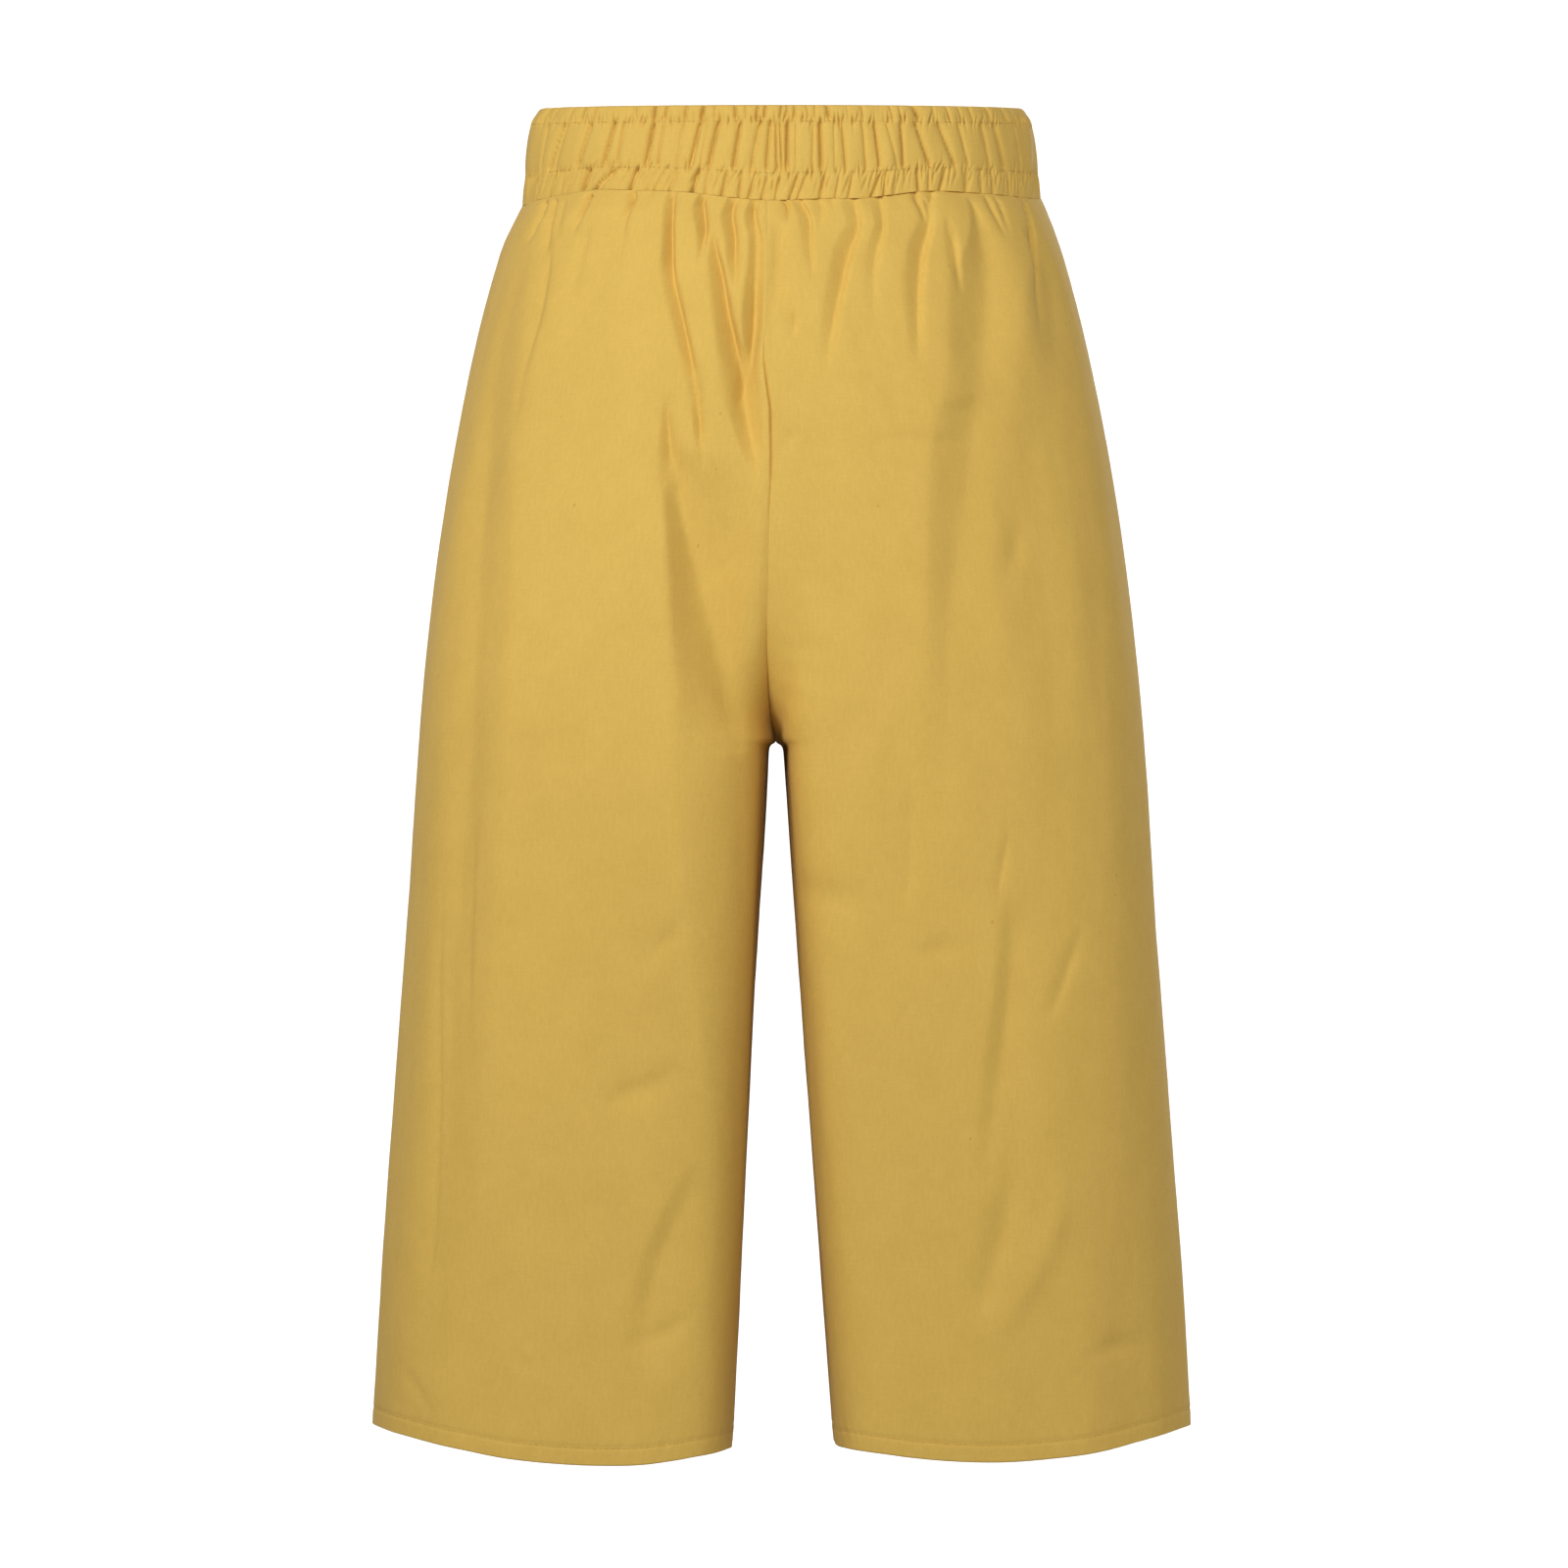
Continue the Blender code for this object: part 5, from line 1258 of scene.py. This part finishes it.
def cloth_material(name, light, dark):
    """A plain-woven linen and cotton cloth: threads, slubs, a soft mottle and a few neps."""
    material, tree, shader = plain_material(name, CLOTH_FINISH)
    place = add_node(tree, "ShaderNodeUVMap", uv_map="cloth").outputs[0]

    def stretched(scale):
        node = add_node(tree, "ShaderNodeMapping")
        node.inputs["Scale"].default_value = scale
        tree.links.new(place, node.inputs["Vector"])
        return node.outputs[0]

    def noise(scale, detail):
        node = add_node(tree, "ShaderNodeTexNoise")
        node.inputs["Scale"].default_value = 1.0
        node.inputs["Detail"].default_value = detail
        tree.links.new(stretched(scale), node.inputs["Vector"])
        return node.outputs["Fac"]

    def threads(direction):
        node = add_node(tree, "ShaderNodeTexWave", wave_type="BANDS", bands_direction=direction)
        node.inputs["Scale"].default_value = 2 * math.pi / WAVE_TEXTURE_PHASE / THREAD_PITCH
        for socket, value in THREAD_WAVER.items():
            node.inputs[socket].default_value = value
        tree.links.new(place, node.inputs["Vector"])
        return node.outputs["Fac"]

    weave = math_node(tree, "MULTIPLY", threads("X"), threads("Y"))
    knots = add_node(tree, "ShaderNodeTexVoronoi", feature="F1")
    knots.inputs["Scale"].default_value = 1.0
    tree.links.new(stretched(NEPS_SCALE), knots.inputs["Vector"])
    neps = math_node(tree, "LESS_THAN", knots.outputs["Distance"], NEPS_RADIUS)
    some = math_node(tree, "GREATER_THAN", noise(*NEPS_PATCHES), NEPS_SPARSE)
    layers = {name: noise(scale, detail) for name, scale, detail in CLOTH_LAYERS}
    layers |= {"weave": weave, "neps": math_node(tree, "MULTIPLY", neps, some)}
    tone = TONE_START
    for name, share in TONE_SHARES.items():
        tone = math_node(tree, "ADD", math_node(tree, "MULTIPLY", layers[name], share), tone)
    colour_by(tree, shader, tone, TONE_ENDS, dark, light)
    slubs = math_node(tree, "MULTIPLY", layers["slubs"], CLOTH_BUMP["slubs"])
    height = math_node(tree, "ADD", weave, slubs)
    bump_by(tree, shader, height, CLOTH_BUMP["strength"], CLOTH_BUMP["distance"])
    return material


def thread_material(name, light, dark):
    """Matt sewing thread, twisted from fine strands."""
    material, tree, shader = plain_material(name, THREAD_FINISH)
    place = add_node(tree, "ShaderNodeTexCoord").outputs["Object"]
    strands = add_node(tree, "ShaderNodeTexNoise")
    strands.inputs["Scale"].default_value = STRANDS_SCALE
    strands.inputs["Detail"].default_value = STRANDS_DETAIL
    tree.links.new(place, strands.inputs["Vector"])
    colour_by(tree, shader, strands.outputs["Fac"], (0.0, 1.0), dark, light)
    bump_by(tree, shader, strands.outputs["Fac"], THREAD_BUMP["strength"], THREAD_BUMP["distance"])
    return material


# ---------------------------------------------------------------- studio
def make_stage():
    """A pale floor well below the hem and a white studio all round."""
    white = plain_material("studio_white", STUDIO_FINISH)[0]
    bpy.ops.mesh.primitive_cylinder_add(vertices=FLOOR_SIDES, radius=FLOOR_RADIUS,
                                        depth=FLOOR_THICKNESS, location=(0, 0, FLOOR_Z))
    floor = bpy.context.active_object
    floor.name = "studio_floor"
    bpy.ops.mesh.primitive_uv_sphere_add(segments=STUDIO_SEGMENTS, ring_count=STUDIO_RINGS,
                                         radius=STUDIO_RADIUS)
    dome = bpy.context.active_object
    dome.name = "studio_walls"
    for piece in (floor, dome):
        piece.data.materials.append(white)
        piece.data.shade_smooth()
        piece.visible_diffuse = False
        piece.visible_glossy = False
        piece.visible_transmission = False
        piece.visible_shadow = False


def add_area_light(name, location, target, size, power, colour):
    """A soft square light turned to a point."""
    light = bpy.data.lights.new(name, "AREA")
    light.shape = "SQUARE"
    light.size = size
    light.energy = power
    light.color = colour
    lamp = bpy.data.objects.new(name, light)
    lamp.location = location
    direction = np.array(target) - np.array(location)
    yaw = math.atan2(direction[1], direction[0]) - math.pi / 2
    pitch = math.atan2(direction[2], math.hypot(direction[0], direction[1]))
    lamp.rotation_euler = (math.pi / 2 + pitch, 0.0, yaw)
    bpy.context.scene.collection.objects.link(lamp)


def make_lights():
    """A soft light from the upper left in front, and weaker ones all round."""
    for light in table(LIGHTS, LIGHT_COLUMNS):
        add_area_light(**light)
    world = bpy.data.worlds.new("studio")
    bpy.context.scene.world = world
    world.use_nodes = True
    background = world.node_tree.nodes["Background"]
    background.inputs["Color"].default_value = ROOM_COLOUR
    background.inputs["Strength"].default_value = ROOM_STRENGTH


def make_camera():
    """Level with the middle of the picture, straight in front."""
    data = bpy.data.cameras.new("camera")
    data.sensor_width = SENSOR_WIDTH
    data.lens = SENSOR_WIDTH * CAMERA_DISTANCE / VIEW_WIDTH
    data.clip_end = CAMERA_SEES
    camera = bpy.data.objects.new("camera", data)
    camera.location = (CAMERA_X, -CAMERA_DISTANCE, CAMERA_Z)
    camera.rotation_euler = (math.pi / 2, 0.0, 0.0)
    bpy.context.scene.collection.objects.link(camera)
    bpy.context.scene.camera = camera
    bpy.context.scene.view_settings.view_transform = "Standard"


# ---------------------------------------------------------------- stitching
def hem_stitch_path(outside, bare):
    """Where the hem of a panel is stitched, with the directions out of the cloth."""
    row = int(np.argmin(np.abs(bare["z"][:, 0] - HEM_Z - HEM_TURN)))
    out = np.stack([bare["out_x"][row], bare["out_y"][row], np.zeros(PANEL_COLUMNS)], axis=-1)
    return outside[row] + STITCH_STANDS_OUT * out, out


def band_stitch_path(below_top, found, puckers):
    """A row of stitches round the casing, with the directions out of it."""
    share = np.linspace(0.0, 1.0, BAND_RING_COLUMNS + 1)
    push = band_push(share, below_top, found, puckers)
    push = push - band_stands_out(below_top) - STITCH_STANDS_OUT
    path = band_point(share, below_top, push)
    ahead = band_point(share, below_top, push - MM) - path
    return path, ahead / np.linalg.norm(ahead, axis=1, keepdims=True)


def stitch_mesh(name, paths, outs, material):
    """One mesh of small capsules, laid end to end along paths of points."""
    template, faces = capsule()
    points, all_faces = [], []
    for path, out in zip(paths, outs):
        distance = np.concatenate([[0.0], np.cumsum(np.linalg.norm(np.diff(path, axis=0), axis=1))])
        count = int(distance[-1] / STITCH_PITCH)
        centres = (np.arange(count) + 0.5) * distance[-1] / count
        ends = [np.stack([np.interp(centres + s * STITCH_LENGTH / 2, distance, path[:, k])
                          for k in range(3)], axis=-1) for s in (-1, 1)]
        normal = np.stack([np.interp(centres, distance, out[:, k]) for k in range(3)], axis=-1)
        for first, last, up in zip(ends[0], ends[1], normal):
            ahead = (last - first) / np.linalg.norm(last - first)
            beside = np.cross(up, ahead)
            beside /= np.linalg.norm(beside)
            axes = np.stack([ahead, beside, np.cross(ahead, beside)])
            all_faces.append(faces + len(points) * len(template))
            points.append((first + last) / 2 + template @ axes)
    mesh = bpy.data.meshes.new(name)
    mesh.from_pydata(np.concatenate(points).tolist(), [], np.concatenate(all_faces).tolist())
    mesh.materials.append(material)
    mesh.shade_smooth()
    piece = bpy.data.objects.new(name, mesh)
    bpy.context.scene.collection.objects.link(piece)
    return piece


def capsule():
    """A stitch: points along its length with a hexagon at each, closed at both ends."""
    points, faces = [], []
    for along_it, girth in STITCH_STATIONS:
        for k in range(STITCH_SIDES):
            turn = 2 * math.pi * k / STITCH_SIDES
            points.append((along_it * STITCH_LENGTH, girth * STITCH_RADIUS * math.cos(turn),
                           girth * STITCH_RADIUS * math.sin(turn)))
    last = STITCH_SIDES * (len(STITCH_STATIONS) - 1)
    for start in range(0, last, STITCH_SIDES):
        for k in range(STITCH_SIDES):
            m = (k + 1) % STITCH_SIDES
            faces.append((start + k, start + m, start + STITCH_SIDES + m, start + STITCH_SIDES + k))
    faces.extend(STITCH_CAPS)
    faces.extend(tuple(last + k for k in cap[:1] + cap[:0:-1]) for cap in STITCH_CAPS)
    return np.array(points), np.array(faces)


# ---------------------------------------------------------------- the garment
make_camera()
make_lights()
make_stage()
cloth = cloth_material("woven_cloth", CLOTH_LIGHT, CLOTH_DARK)
casing = cloth_material("gathered_casing", CLOTH_LIGHT, CLOTH_DARK)
thread = thread_material("sewing_thread", THREAD_LIGHT, THREAD_DARK)
found, puckers = band_folds(), band_puckers()


def add_stitching(name, paths):
    """Stitches along paths, riding with the garment."""
    piece = stitch_mesh(name, [path for path, _ in paths], [out for _, out in paths], thread)
    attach(piece, "root")
    return piece


def add_waistband():
    """The waistband in place of its solid, with its two rows of stitching."""
    band = make_waistband(casing, found, puckers)
    paths = [band_stitch_path(row, found, puckers) for row in STITCH_ROWS]
    rows = add_stitching("waistband_stitching", paths)
    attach(band, "root")
    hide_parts("waistband")


def add_panel(face, leg, side):
    """A panel in place of its solid, with the stitching of its hem."""
    piece, outside, bare = make_panel(leg, face, cloth)
    paths = [hem_stitch_path(outside, bare)]
    hem_row = add_stitching(f"{face}_hem_stitching_{side}", paths)
    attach(piece, "root")
    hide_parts(f"{face}_panel_{side}")


add_waistband()
for face in ("front", "back"):
    add_panel(face, 1, "left")
    add_panel(face, -1, "right")
